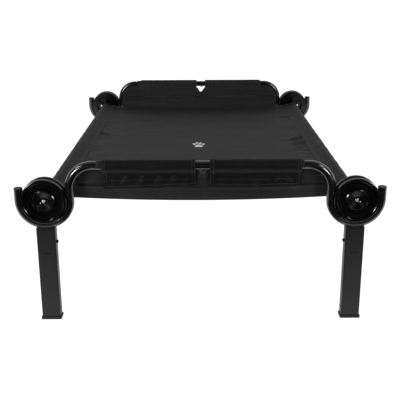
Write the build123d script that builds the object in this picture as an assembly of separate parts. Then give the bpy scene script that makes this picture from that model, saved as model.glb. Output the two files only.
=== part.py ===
from build123d import *
import math
import os

# A raised dog cot: two tubular end frames on four slide-on legs, four moulded discs held in the
# frames' cups, two side rails between the discs, and a fabric deck with turned-up ends.
# Millimetres. +X is the bed's right side, -Y its front end, +Z up. The origin is on the floor
# under the middle of the bed.

# Driving dimensions
AXLE_X = 390.0  # disc and side-rail axes, either side of the middle
END_Y = 600.0  # plane of each end frame
AXLE_Z = 325.0  # height of the disc and side-rail axes

TUBE_R = 11.0  # end frame tube, 22 mm outside
TUBE_WALL = 1.5
CUP_R = 64.0  # centreline of the cup that a disc sits in
CUP_ARM = 33.0  # how far the cup's outer arm rises over the axis
BAR_Z = AXLE_Z + 90.0  # centreline of the end bar
BEND_R = 58.0  # centreline of the bend between cup and bar

DISC_R = 57.5  # outer radius of a disc's flanges
DISC_HALF = 17.0  # half the thickness of a disc
SCREW_PITCH_R = 21.5  # the two screws that hold a disc's shells together
RIVET_HOLE_R = 3.5

RAIL_R = 12.5  # side rail tube, 25 mm outside
RAIL_END_Y = END_Y - 5.0
SOCKET_R = 12.7  # the rail's socket in a disc

LEG_W = 48.0  # leg tube across the bed
LEG_D = 25.0  # leg tube along the bed
LEG_WALL = 1.5
LEG_FIT = 0.5  # play between a leg and its stub, each side
STUB_BOTTOM = 193.0
FOOT_H = 7.0  # flange under the leg tube

BUTTON_Z = 214.0  # leg snap button
LEG_PIN_R = 4.0
LEG_PIN_OUT = 4.5  # how far the pin stands out of the leg
TUBE_PIN_R = 3.3
TUBE_PIN_OUT = 3.5
PIN_PLAY = 0.3  # radial, in its hole
FRAME_BUTTON_X = 9.0
RAIL_BUTTON_Y = 14.0
SPIGOT_HALF = 60.0  # each joint's spigot reaches this far into both tubes
SPIGOT_FIT = 0.1

FABRIC = 1.2
SEAM_X = 360.0  # seam between the deck and the sleeves
SLEEVE_END_Y = 576.0
DECK_EDGE_Z = 324.0
DECK_SAG = 12.0
DECK_END_Y = 565.0
PANEL_FOOT_Y = END_Y - 566.5  # foot of the end panel's slope, measured in from the bar
PANEL_FOOT_Z = AXLE_Z - 16.0 - BAR_Z  # and below it
PANEL_R = 12.0  # the panel's inner ply goes round the bar at this radius
PANEL_HALF_W = 320.0  # the panel's sides and corners lie behind the frame's bends
PANEL_CORNER_R = 52.0
PANEL_SHOULDER_Z = BAR_Z - 5.0
PANEL_CAP_HALF_W = 256.0  # the part that goes over the bar
FLAP_R = 14.6  # the flap goes round outside that
FLAP_THICK = 2.0
FLAP_OFF = 4.8  # between the panel's mid-plane and the flap's
CREASE_S = 27.0  # along the panel's slope, from the bar to the crease under the roll
HEM_S = 65.0  # and to the flap's hem
FLAP_SPANS = {"left": (-243.0, -11.5), "right": (23.5, 250.0)}
NOTCH_X = (-11.5, 23.5)
NOTCH_DEPTH = 15.0  # below the bar's underside
STRIP_S = (34.0, 54.0)  # hook-and-loop strips, along the slope
STRIP_THICK = 1.2
STRIP_INSET = 12.0

SIDES = {"left": -1, "right": 1}
ENDS = {"front": -1, "rear": 1}


def at_corner(shape, side, end):
    """A shape made for the front left corner, mirrored to another corner."""
    if SIDES[side] > 0:
        shape = mirror(shape, Plane.YZ)
    if ENDS[end] > 0:
        shape = mirror(shape, Plane.XZ)
    return shape


def all_corners(shape):
    return [at_corner(shape, side, end) for end in ENDS for side in SIDES]


def write(name, *shapes):
    solids = [solid for shape in shapes for solid in shape.solids()]
    whole = solids[0] if len(solids) == 1 else Compound(children=solids)
    export_step(whole, f"parts/{name}.step")


def on_axle():
    """The frame whose +Z is a disc's outward axis, at the front left disc's centre."""
    return Pos(-AXLE_X, -END_Y, AXLE_Z) * Rot(90, 0, 0)


# ---- end frames ----------------------------------------------------------------------------


def half_frame_path():
    outer, inner = -(AXLE_X + CUP_R), -(AXLE_X - CUP_R)
    bend = BEND_R * math.sqrt(0.5)

    def point(x, z):
        return (x, -END_Y, z)

    bend_x, bend_z = inner + BEND_R, BAR_Z - BEND_R
    return Wire(
        [
            Line(point(outer, AXLE_Z + CUP_ARM - 2), point(outer, AXLE_Z)),
            ThreePointArc(point(outer, AXLE_Z), point(-AXLE_X, AXLE_Z - CUP_R), point(inner, AXLE_Z)),
            Line(point(inner, AXLE_Z), point(inner, bend_z)),
            ThreePointArc(
                point(inner, bend_z), point(bend_x - bend, bend_z + bend), point(bend_x, BAR_Z)
            ),
            Line(point(bend_x, BAR_Z), point(0, BAR_Z)),
        ]
    )


def half_frame():
    path = half_frame_path()
    start = Plane(origin=path @ 0, z_dir=(0, 0, -1))
    return sweep(start * (Circle(TUBE_R) - Circle(TUBE_R - TUBE_WALL)), path)


def frame_button_hole():
    centre = Pos(FRAME_BUTTON_X, -END_Y, BAR_Z - TUBE_R)
    return centre * Cylinder(TUBE_PIN_R + PIN_PLAY, 3 * TUBE_R / 2)


def frame_spigot():
    radius = TUBE_R - TUBE_WALL - SPIGOT_FIT
    ring = Circle(radius) - Circle(radius - TUBE_WALL)
    start = Plane(origin=(-SPIGOT_HALF, -END_Y, BAR_Z), z_dir=(1, 0, 0))
    return extrude(start * ring, 2 * SPIGOT_HALF) - frame_button_hole()


def frame_end_plug():
    """Cap in the open top of the cup's outer arm."""
    bore = TUBE_R - TUBE_WALL - 0.05
    head = fillet(Cylinder(TUBE_R, 2).faces().sort_by(Axis.Z)[-1].edges(), 1.2)
    stem = Pos(0, 0, -7) * (Cylinder(bore, 12) - Cylinder(bore - 2, 12))
    return Pos(-(AXLE_X + CUP_R), -END_Y, AXLE_Z + CUP_ARM - 1) * (head + stem)


# ---- snap buttons and their springs ---------------------------------------------------------


def snap_button(pin_r, length, head_r, head_thick):
    """Domed pin on a round head. +Z points out, and the head's outer face is at 0."""
    pin = fillet((Pos(0, 0, length / 2) * Cylinder(pin_r, length)).edges().sort_by(Axis.Z)[-1], 1.6)
    return pin + Pos(0, 0, -head_thick / 2) * Cylinder(head_r, head_thick)


def clip_spring(gap, width):
    """V spring of flat strip in a tube. Its short arm ends lie at X 0 and -gap, its bend up +Y."""
    path = FilletPolyline((0, -7), (0, 8), (-gap / 2, 30), (-gap, 8), (-gap, -7), radius=2.5)
    return extrude(trace(path.edges(), 0.7), width / 2, both=True)


def leg_button():
    head = Pos(-AXLE_X + LEG_W / 2 - 2 * LEG_WALL - LEG_FIT - 0.4, -END_Y, BUTTON_Z)
    length = 2 * LEG_WALL + LEG_FIT + 0.4 + LEG_PIN_OUT
    return head * Rot(0, 90, 0) * snap_button(LEG_PIN_R, length, 6.0, 1.8)


def leg_clip_spring():
    inner_half = LEG_W / 2 - 2 * LEG_WALL - LEG_FIT
    place = Pos(-AXLE_X + inner_half - 2.7, -END_Y, BUTTON_Z) * Rot(90, 0, 0)
    return place * clip_spring(2 * inner_half - 3.2, 8)


def frame_button():
    head_z = BAR_Z - 6.4
    length = head_z - (BAR_Z - TUBE_R - TUBE_PIN_OUT)
    return Pos(FRAME_BUTTON_X, -END_Y, head_z) * Rot(180, 0, 0) * snap_button(TUBE_PIN_R, length, 4.5, 1.2)


def frame_clip_spring():
    place = Pos(FRAME_BUTTON_X, -END_Y, BAR_Z - 4.7)
    flat = Plane(origin=(0, 0, 0), x_dir=(0, 0, -1), z_dir=(0, 1, 0))
    return place * Location(flat) * clip_spring(11.2, 4.5)


def rail_button():
    head_x = -AXLE_X + 8.1
    length = -AXLE_X + RAIL_R + TUBE_PIN_OUT - head_x
    return Pos(head_x, -RAIL_BUTTON_Y, AXLE_Z) * Rot(0, 90, 0) * snap_button(TUBE_PIN_R, length, 4.5, 1.2)


def rail_clip_spring():
    place = Pos(-AXLE_X + 6.4, -RAIL_BUTTON_Y, AXLE_Z)
    return place * clip_spring(14.8, 4.5)


# ---- legs -----------------------------------------------------------------------------------


def leg_box(width, depth, low, high):
    return Pos(-AXLE_X, -END_Y, (low + high) / 2) * Box(width, depth, high - low)


def leg_button_hole():
    reach = Pos(-AXLE_X + LEG_W / 2 - 2, -END_Y, BUTTON_Z) * Rot(0, 90, 0)
    return reach * Cylinder(LEG_PIN_R + PIN_PLAY, 8)


def leg():
    outer = fillet(leg_box(LEG_W, LEG_D, FOOT_H, 256).edges().filter_by(Axis.Z), 3)
    inner = leg_box(LEG_W - 2 * LEG_WALL, LEG_D - 2 * LEG_WALL, FOOT_H, 256)
    shell = outer - inner - on_axle() * Cylinder(CUP_R + TUBE_R + 0.6, 2 * LEG_D)
    front = -END_Y - LEG_D / 2
    stop_z = STUB_BOTTOM - 5.5
    stop = Pos(-AXLE_X, front + LEG_WALL + 1, stop_z) * Box(24, 2, 9)
    dimple = Pos(-AXLE_X, front, stop_z) * Box(21, 2.4, 6)
    return shell + stop - dimple - leg_button_hole() - foot_nub_hole()


def leg_stub():
    """Rectangular spigot welded under the cup. The leg slides up over it."""
    width = LEG_W - 2 * LEG_WALL - 2 * LEG_FIT
    depth = LEG_D - 2 * LEG_WALL - 2 * LEG_FIT
    outer = fillet(leg_box(width, depth, STUB_BOTTOM, 262).edges().filter_by(Axis.Z), 1.5)
    inner = leg_box(width - 2 * LEG_WALL, depth - 2 * LEG_WALL, STUB_BOTTOM, 262)
    cup = on_axle() * Torus(CUP_R, TUBE_R)
    return (outer - inner - cup - leg_button_hole()).solids().sort_by(SortBy.VOLUME)[-1]


def foot_nub_place():
    return Pos(-AXLE_X + LEG_W / 2 - LEG_WALL, -END_Y, 27) * Rot(0, 90, 0)


def foot_nub_hole():
    return foot_nub_place() * Cylinder(3.1, 8)


def foot():
    flange = Pos(-AXLE_X, -END_Y, FOOT_H / 2) * Box(LEG_W + 5, LEG_D + 5, FOOT_H)
    flange = fillet(flange.edges().filter_by(Axis.Z), 4)
    flange = fillet(flange.edges().group_by(Axis.Z)[-1], 1.5)
    flange = fillet(flange.edges().group_by(Axis.Z)[0], 1)
    plug_w, plug_d = LEG_W - 2 * LEG_WALL - 0.4, LEG_D - 2 * LEG_WALL - 0.4
    plug = leg_box(plug_w, plug_d, FOOT_H, 38) - leg_box(plug_w - 5, plug_d - 5, FOOT_H, 38)
    nub = foot_nub_place() * Cylinder(2.8, 4.4)
    return flange + plug + nub


# ---- discs ----------------------------------------------------------------------------------


def groove_arc():
    """Rim groove that seats on the cup's tube, from the middle plane out to the flange."""
    rise = math.sqrt(TUBE_R**2 - (CUP_R - DISC_R) ** 2)
    half_turn = math.asin(rise / TUBE_R) / 2
    middle = (CUP_R - TUBE_R * math.cos(half_turn), TUBE_R * math.sin(half_turn))
    return ThreePointArc((CUP_R - TUBE_R, 0), middle, (DISC_R, rise))


def turned(points):
    """Solid of revolution about +Z: the rim's groove, then the (radius, height) points back to it."""
    groove = groove_arc()
    outline = Polyline(groove @ 1, *points, groove @ 0)
    face = make_face([groove, *outline.edges()])
    return revolve(Plane.XZ * face, Axis.Z)


def disc_outer():
    """Outer shell: raised hub in a stepped dish, with a rounded rim."""
    rim = [(DISC_R, 15), (56.7, 16.5), (55, DISC_HALF), (50.4, DISC_HALF), (49.2, 16)]
    dish = [(46.8, 9.6), (38.4, 8.6), (37, 6.2), (30.2, 6)]
    hub = [(29.2, 7), (28.4, 12), (25.8, 14), (23.8, 13.6), (10.4, 10.4), (8.6, 9), (RIVET_HOLE_R, 9)]
    inside = [(RIVET_HOLE_R, 0), (8, 0), (8, 6), (10.5, 7.4), (25, 10.6), (26.4, 9), (26.4, 3.2)]
    inside += [(39, 3.2), (40.5, 5.8), (44, 6.6), (44, 0)]
    shell = turned(rim + dish + hub + inside)
    for turn in (0, 180):
        boss = Rot(0, 0, turn) * Pos(SCREW_PITCH_R, 0, 4.5)
        shell = shell + boss * Cylinder(4, 9) - boss * Pos(0, 0, -1) * Cylinder(1.6, 7)
    return on_axle() * shell


def disc_inner():
    """Inner shell: flange, ribbed recess and the side rail's socket. Made facing +Z, then turned in."""
    rim = [(DISC_R, 15), (56.7, 16.5), (55, DISC_HALF), (39, DISC_HALF), (37.5, 16), (36.5, 4)]
    socket = [(17, 4), (16.4, DISC_HALF), (SOCKET_R, DISC_HALF), (SOCKET_R, 3), (RIVET_HOLE_R, 3)]
    shell = turned(rim + socket + [(RIVET_HOLE_R, 0)])
    for step in range(6):
        rib = Rot(0, 0, 30 + 60 * step) * Pos(26.5, 0, 8.5)
        shell = shell + rib * Box(21, 2.4, 9.4)
    for turn in (0, 180):
        boss = Rot(0, 0, turn) * Pos(SCREW_PITCH_R, 0, 0)
        shell = shell + boss * Pos(0, 0, 7) * Cylinder(4.2, 6.4)
        shell = shell - boss * Pos(0, 0, 5) * Cylinder(2, 12)
    return on_axle() * Rot(0, 180, 0) * shell


def disc_rivet():
    head = fillet((Pos(0, 0, 10.2) * Cylinder(4.4, 2.2)).edges().sort_by(Axis.Z)[-1], 1.6)
    shank = Pos(0, 0, 3) * Cylinder(RIVET_HOLE_R - 0.2, 12.2)
    tail = Pos(0, 0, -3.6) * Cylinder(5.4, 1)
    return on_axle() * (head + shank + tail)


def disc_screws():
    screws = []
    for turn in (0, 180):
        place = on_axle() * Rot(0, 0, turn) * Pos(SCREW_PITCH_R, 0, 0)
        head = Pos(0, 0, -11.4) * Cylinder(3.6, 2.2) - Pos(0, 0, -12.2) * Box(5, 0.9, 1)
        screws.append(place * (head + Pos(0, 0, -3.4) * Cylinder(1.5, 14)))
    return screws


# ---- side rails -----------------------------------------------------------------------------


def along_y(radius, wall, low, high):
    ring = Circle(radius) - Circle(radius - wall)
    start = Plane(origin=(-AXLE_X, low, AXLE_Z), z_dir=(0, 1, 0))
    return extrude(start * ring, high - low)


def rail_button_hole():
    return Pos(-AXLE_X + RAIL_R, -RAIL_BUTTON_Y, AXLE_Z) * Rot(0, 90, 0) * Cylinder(TUBE_PIN_R + PIN_PLAY, 14)


def side_rail_front():
    return along_y(RAIL_R, TUBE_WALL, -RAIL_END_Y, 0) - rail_button_hole()


def side_rail_rear():
    return along_y(RAIL_R, TUBE_WALL, 0, RAIL_END_Y)


def rail_spigot():
    radius = RAIL_R - TUBE_WALL - SPIGOT_FIT
    return along_y(radius, TUBE_WALL, -SPIGOT_HALF, SPIGOT_HALF) - rail_button_hole()


# ---- fabric ---------------------------------------------------------------------------------


def teardrop(radius, point_x, point_r):
    loop = Circle(radius).edges() + (Pos(point_x, 0) * Circle(point_r)).edges()
    return make_hull(loop)


def deck_sleeve():
    """Loop of fabric round the left side rail, closed by a seam on its inner side."""
    seam = AXLE_X - SEAM_X
    loop = teardrop(RAIL_R + 1.7, seam - 1, 0.9) - teardrop(RAIL_R + 0.5, seam - 3.5, 0.2)
    start = Plane(origin=(-AXLE_X, SLEEVE_END_Y, AXLE_Z), x_dir=(1, 0, 0), z_dir=(0, -1, 0))
    return extrude(start * loop, 2 * SLEEVE_END_Y)


def deck_arc(edge_z):
    reach = SEAM_X - 0.5
    return ThreePointArc((-reach, edge_z), (0, edge_z - DECK_SAG), (reach, edge_z))


def deck_fabric():
    top, bottom = deck_arc(DECK_EDGE_Z), deck_arc(DECK_EDGE_Z - FABRIC)
    sides = [Line(top @ 0, bottom @ 0), Line(top @ 1, bottom @ 1)]
    section = make_face([top, bottom, *sides])
    start = Plane(origin=(0, DECK_END_Y, 0), x_dir=(1, 0, 0), z_dir=(0, -1, 0))
    return extrude(start * section, 2 * DECK_END_Y)


def slope():
    """Where the end panel leaves the bar, and its downward direction and outward normal, from the bar."""
    distance = math.hypot(PANEL_FOOT_Y, PANEL_FOOT_Z)
    angle = math.atan2(PANEL_FOOT_Z, PANEL_FOOT_Y) + math.acos(PANEL_R / distance)
    leave = Vector(math.cos(angle), math.sin(angle)) * PANEL_R
    down = (Vector(PANEL_FOOT_Y, PANEL_FOOT_Z) - leave).normalized()
    return leave, down, Vector(down.Y, -down.X)


def on_slope(s, off):
    leave, down, out = slope()
    return leave + down * s + out * off


def end_prism(section, low, high):
    """A section drawn round the front bar, its X pointing in along the bed, extruded along the bar."""
    start = Plane(origin=(low, -END_Y, BAR_Z), x_dir=(0, 1, 0), z_dir=(1, 0, 0))
    return extrude(start * section, high - low)


def strip(points, thick):
    """Band of fabric along a chain of edges."""
    return trace(points, thick)


def round_bar(radius, first, last):
    """Arc round the bar, in degrees from the inward side over the top."""
    return CenterArc((0, 0), radius, first, last - first)


def notch():
    low = BAR_Z - TUBE_R - NOTCH_DEPTH
    width = NOTCH_X[1] - NOTCH_X[0]
    outline = Pos(sum(NOTCH_X) / 2, low + 60) * RectangleRounded(width, 120, 8)
    start = Plane(origin=(0, -END_Y + 60, 0), x_dir=(1, 0, 0), z_dir=(0, -1, 0))
    return extrude(start * outline, 120)


def panel_outline():
    """What the end panel fills between the frame's bends, seen from the front."""
    low, high = AXLE_Z - 30, BAR_Z + 60
    shoulder = PANEL_SHOULDER_Z
    body = Pos(0, (low + shoulder) / 2) * Rectangle(2 * PANEL_HALF_W, shoulder - low)
    body = fillet(body.vertices().group_by(Axis.Y)[-1], PANEL_CORNER_R)
    cap = Pos(0, (shoulder - 20 + high) / 2) * Rectangle(2 * PANEL_CAP_HALF_W, high - shoulder + 20)
    start = Plane(origin=(0, -END_Y + 60, 0), x_dir=(1, 0, 0), z_dir=(0, -1, 0))
    return extrude(start * (body + cap), 120)


def under_deck():
    """Space below the deck, which trims the end panel's foot to the deck's sag."""
    top = deck_arc(DECK_EDGE_Z - FABRIC)
    low = DECK_EDGE_Z - 80
    box = Polyline(top @ 0, (-SEAM_X, low), (SEAM_X, low), top @ 1)
    start = Plane(origin=(0, -END_Y + 60, 0), x_dir=(1, 0, 0), z_dir=(0, -1, 0))
    return extrude(start * make_face([top, *box.edges()]), 120)


def end_panel():
    """Turned-up end of the deck: up the slope, over the bar and just past its outer side."""
    leave = slope()[0]
    leave_deg = math.degrees(math.atan2(leave.Y, leave.X))
    wrap = round_bar(PANEL_R, leave_deg, 195)
    foot = Line(on_slope(0, 0), (PANEL_FOOT_Y, PANEL_FOOT_Z))
    band = strip([wrap, foot], FABRIC)
    panel = end_prism(band, -PANEL_HALF_W, PANEL_HALF_W) & panel_outline()
    return panel - notch() - under_deck()


def flap_section():
    crease, hem = on_slope(CREASE_S, FLAP_OFF), on_slope(HEM_S, FLAP_OFF)
    distance = math.hypot(crease.X, crease.Y)
    last = math.degrees(math.atan2(crease.Y, crease.X) - math.acos(FLAP_R / distance)) + 360
    roll = round_bar(FLAP_R, 95, last)
    lower = FilletPolyline(roll @ 1, (crease.X, crease.Y), (hem.X, hem.Y), radius=4)
    return strip([roll, *lower.edges()], FLAP_THICK)


def flap(side):
    return end_prism(flap_section(), *FLAP_SPANS[side])


def tape(off, side):
    """Hook or loop tape along the slope, its near face this far off the panel's mid-plane."""
    corners = [(STRIP_S[0], 0), (STRIP_S[1], 0), (STRIP_S[1], STRIP_THICK), (STRIP_S[0], STRIP_THICK)]
    face = make_face(Polyline(*[on_slope(s, off + t) for s, t in corners], close=True))
    low, high = FLAP_SPANS[side]
    return end_prism(face, low + STRIP_INSET, high - STRIP_INSET)


# ---- all pieces -----------------------------------------------------------------------------


def write_end(end):
    def turned_end(shape):
        return mirror(shape, Plane.XZ) if ENDS[end] > 0 else shape

    left = half_frame()
    right = mirror(left, Plane.YZ) - frame_button_hole()
    write(f"frame_tube_{end}_left", turned_end(left))
    write(f"frame_tube_{end}_right", turned_end(right))
    write(f"frame_spigot_{end}", turned_end(frame_spigot()))
    write(f"frame_button_{end}", turned_end(frame_button()))
    write(f"end_panel_{end}", turned_end(end_panel()))
    for side in SIDES:
        write(f"flap_{end}_{side}", turned_end(flap(side)))
        loop_off = FLAP_OFF - FLAP_THICK / 2 - STRIP_THICK - 0.05
        write(f"loop_tape_{end}_{side}", turned_end(tape(loop_off, side)))


def write_corner(side, end):
    makers = {"leg": leg, "leg_stub": leg_stub, "leg_button": leg_button, "foot": foot}
    makers |= {"disc_outer": disc_outer, "disc_inner": disc_inner}
    for name, make in makers.items():
        write(f"{name}_{end}_{side}", at_corner(make(), side, end))


def write_side(side):
    makers = {"side_rail_front": side_rail_front, "side_rail_rear": side_rail_rear}
    makers |= {"rail_spigot": rail_spigot, "rail_button": rail_button, "deck_sleeve": deck_sleeve}
    for name, make in makers.items():
        write(f"{name}_{side}", at_corner(make(), side, "front"))


def write_groups():
    """Small identical pieces, and the one deck."""
    both_ends = [frame_clip_spring(), mirror(frame_clip_spring(), Plane.XZ)]
    write("frame_clip_springs", *both_ends)
    write("rail_clip_springs", rail_clip_spring(), mirror(rail_clip_spring(), Plane.YZ))
    write("leg_clip_springs", *all_corners(leg_clip_spring()))
    write("frame_end_plugs", *all_corners(frame_end_plug()))
    write("disc_rivets", *all_corners(disc_rivet()))
    write("disc_screws", *[s for screw in disc_screws() for s in all_corners(screw)])
    hooks = [tape(FABRIC / 2 + 0.05, side) for side in SIDES]
    write("hook_tapes", *hooks, *[mirror(hook, Plane.XZ) for hook in hooks])
    write("deck_fabric", deck_fabric())


os.makedirs("parts", exist_ok=True)
for end_name in ENDS:
    write_end(end_name)
    for side_name in SIDES:
        write_corner(side_name, end_name)
for side_name in SIDES:
    write_side(side_name)
write_groups()
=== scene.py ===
"""Looks of a raised dog bed on a take-down frame.

Sewn cloth, thread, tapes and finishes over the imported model, and the studio that shows them.
"""

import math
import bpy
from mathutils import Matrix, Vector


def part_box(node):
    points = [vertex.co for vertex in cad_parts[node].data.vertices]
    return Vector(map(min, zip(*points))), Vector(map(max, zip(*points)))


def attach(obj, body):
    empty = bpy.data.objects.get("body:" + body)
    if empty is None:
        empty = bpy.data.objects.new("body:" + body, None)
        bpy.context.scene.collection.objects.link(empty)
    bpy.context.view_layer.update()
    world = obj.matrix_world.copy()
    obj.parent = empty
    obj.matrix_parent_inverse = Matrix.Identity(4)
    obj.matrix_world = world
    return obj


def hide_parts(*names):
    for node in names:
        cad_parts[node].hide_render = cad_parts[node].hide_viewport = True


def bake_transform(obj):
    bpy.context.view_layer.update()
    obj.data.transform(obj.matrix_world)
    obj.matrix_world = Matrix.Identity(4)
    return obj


bl_info = {
    "name": "Raised dog bed",
    "version": (1, 0, 0),
    "blender": (4, 5, 0),
    "location": "View3D > Sidebar > Dog bed",
    "description": "Sews the cloth of a raised dog bed over its frame and gives every piece its finish",
    "category": "Add Mesh",
}

import bpy
import numpy as np
from mathutils import Matrix, Vector

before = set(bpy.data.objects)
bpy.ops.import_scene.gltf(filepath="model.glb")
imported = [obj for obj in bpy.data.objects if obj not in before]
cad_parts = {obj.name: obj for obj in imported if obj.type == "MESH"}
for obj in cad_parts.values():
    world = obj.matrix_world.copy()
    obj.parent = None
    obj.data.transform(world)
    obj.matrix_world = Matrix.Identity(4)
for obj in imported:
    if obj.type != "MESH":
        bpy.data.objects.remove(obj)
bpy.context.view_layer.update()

MM = 0.001
ENDS = {"front": -1, "rear": 1}
SIDES = {"left": -1, "right": 1}

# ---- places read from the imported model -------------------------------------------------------

TUBE_R = 11 * MM  # end frame tube
tube_low, tube_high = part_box("frame_tube_rear_right")
BAR_Y = tube_high.y - TUBE_R
BAR_Z = tube_high.z - TUBE_R
rail_low, rail_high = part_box("side_rail_front_right")
RAIL_X = (rail_low.x + rail_high.x) / 2
RAIL_Z = (rail_low.z + rail_high.z) / 2
RAIL_R = (rail_high.z - rail_low.z) / 2
deck_low, deck_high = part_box("deck_fabric")
DECK_HALF_W = deck_high.x
DECK_EDGE_Z = deck_high.z
DECK_SAG = 12 * MM
sleeve_low, sleeve_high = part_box("deck_sleeve_right")
SLEEVE_END_Y = sleeve_high.y
panel_low, panel_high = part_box("end_panel_front")
PANEL_HALF_W = panel_high.x
FLAP_SPANS = {}
for side_name in SIDES:
    span_low, span_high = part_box(f"flap_front_{side_name}")
    FLAP_SPANS[side_name] = (span_low.x, span_high.x)
NOTCH_X = (FLAP_SPANS["left"][1], FLAP_SPANS["right"][0])

# The end panel's slope, seen along the bar: distance in towards the bed, and height from the bar's
# middle.
PANEL_R = 12 * MM  # the panel goes over the bar at this radius
FLAP_R = 14.6 * MM  # and the flap outside it
PANEL_FOOT = np.array((33.5, -106.0)) * MM
FLAP_OFF = 4.8 * MM  # the hanging part of the flap stands this far off the panel
CREASE_AT = 27 * MM  # from the bar down the slope to the crease under the flap's roll
HEM_AT = 65 * MM  # the flap's lower edge, down the slope
STRIP_AT = (34 * MM, 54 * MM)  # hook-and-loop tapes, down the slope
STRIP_INSET = 12 * MM
CORNER_R = 52 * MM  # panel corner, which lies behind the frame's bend
CAP_HALF_W = 256 * MM  # the part of the panel that goes over the bar
SHOULDER_Z = BAR_Z - 5 * MM  # where the panel's outline comes out from under the cap
NOTCH_TOP_Z = BAR_Z - TUBE_R
NOTCH_DEPTH = 19 * MM

SEAM_LAP = 7 * MM  # cloth past the seam between the deck and an end panel
HEM_STEP = 0.35 * MM  # a hem's edge steps down over this much on each side
SLEEVE_HEM = 10 * MM


def linear(hex_code):
    """Linear RGBA of an sRGB hex colour such as #1a1a1c."""
    channels = [int(hex_code[i:i + 2], 16) / 255 for i in (1, 3, 5)]
    return (*(c / 12.92 if c <= 0.04045 else ((c + 0.055) / 1.055) ** 2.4 for c in channels), 1.0)


# ---- settings --------------------------------------------------------------------------------


def length(name, description, default_mm):
    """A length setting, with its default in millimetres."""
    return bpy.props.FloatProperty(
        name=name, description=description, default=default_mm * MM, min=0.0, unit="LENGTH", precision=4
    )


def tilt(name, description, default_degrees):
    """An angle setting, with its default in degrees."""
    return bpy.props.FloatProperty(
        name=name, description=description, default=math.radians(default_degrees), subtype="ANGLE"
    )


def colour(name, description, hex_code):
    """A colour setting, with its default as an sRGB hex code."""
    return bpy.props.FloatVectorProperty(
        name=name, description=description, default=linear(hex_code), size=4, min=0.0, max=1.0,
        subtype="COLOR",
    )


class BedClothSettings(bpy.types.PropertyGroup):
    """Sizes that the cloth is cut and sewn to."""

    ply: length("Cloth thickness", "Thickness of one ply of cloth", 1.1)
    hem_width: length("Hem width", "Width of the turned and double-stitched hems", 11)
    hem_rise: length("Hem rise", "How far a hem's extra plies stand up on each face", 0.5)
    seam_up: length("End seam height", "From the bend up to the seam of deck and end panel", 30)
    stitch: length("Stitch length", "Length of one stitch", 4.2)
    thread: length("Thread thickness", "Thickness of the sewing thread, drawn a little heavy", 0.8)
    wrinkle: length("Wrinkle height", "Height of the pulled wrinkles in the flaps", 4.6)
    rib_pitch: length("Rib pitch", "Spacing of the ribs in the deck's weave", 5.0)
    canvas_pitch: length("Canvas pitch", "Spacing of the threads in the canvas", 2.0)


class BedColourSettings(bpy.types.PropertyGroup):
    """Colours of the finishes."""

    deck_weave: colour("Deck weave", "Ribbed polyester of the deck, sleeves and end panels", "#1d1d1e")
    canvas: colour("Canvas", "Plain-weave polyester of the flaps", "#121213")
    tape: colour("Hook-and-loop tape", "Tapes that hold the flaps", "#141415")
    thread: colour("Thread", "Sewing thread", "#2e2e30")
    print_ink: colour("Print", "Ink of the paw print on the deck", "#e9e9e6")
    tube: colour("Tube coating", "Satin powder coat of the end frames and rails", "#070708")
    leg: colour("Leg coating", "Textured powder coat of the legs", "#0f0f11")
    disc: colour("Disc nylon", "Glossy moulded nylon of the corner discs", "#040405")
    foot: colour("Foot plastic", "Matt moulded plastic of feet, caps and buttons", "#0b0b0c")
    zinc: colour("Zinc plating", "Bright zinc plate of rivets, screws and springs", "#c8cacd")


class BedStageSettings(bpy.types.PropertyGroup):
    """Where the camera stands and how the floor looks."""

    camera_back: length("Camera distance", "From the middle of the bed back to the camera", 2188)
    camera_up: length("Camera height", "Height of the camera above the floor", 885)
    pitch: tilt("Camera pitch", "How far the camera looks down", 16.06)
    yaw: tilt("Camera yaw", "How far the camera turns to the right", 0.10)
    roll: tilt("Camera roll", "How far the camera leans", -0.23)
    lens: bpy.props.FloatProperty(
        name="Lens", description="Focal length in millimetres on a 36 mm sensor", default=60.44, min=10.0
    )
    floor: colour("Floor", "Plain pale floor", "#9a9a99")


# ---- materials -------------------------------------------------------------------------------


def add_node(tree, kind, inputs=None, **settings):
    """Add one node, give it its settings, and set or link each input that is named."""
    made = tree.nodes.new(kind)
    for name, value in settings.items():
        setattr(made, name, value)
    for name, value in (inputs or {}).items():
        socket = made.inputs[name]
        if isinstance(value, bpy.types.NodeSocket):
            tree.links.new(value, socket)
        else:
            socket.default_value = value
    return made


def new_material(name, fixed=None):
    """A material with a Principled shader. fixed holds the shader values that are the same all over."""
    made = bpy.data.materials.new(name)
    made.use_nodes = True
    tree = made.node_tree
    tree.nodes.clear()
    shader = add_node(tree, "ShaderNodeBsdfPrincipled", fixed)
    add_node(tree, "ShaderNodeOutputMaterial", {"Surface": shader.outputs[0]})
    return made, tree, shader


def per_mm(size_mm):
    """Texture scale that gives a pattern this size in millimetres."""
    return 1 / (size_mm * MM)


def vary_colour(tree, shader, colour_value, low, high, factor):
    """Base colour that goes from low to high times its own value as a factor goes from 0 to 1."""
    dark = [c * low for c in colour_value[:3]] + [1.0]
    light = [min(1.0, c * high) for c in colour_value[:3]] + [1.0]
    mixed = add_node(
        tree, "ShaderNodeMix", {"Factor": factor, 6: dark, 7: light}, data_type="RGBA", clamp_factor=True
    )
    tree.links.new(mixed.outputs[2], shader.inputs["Base Color"])


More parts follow.
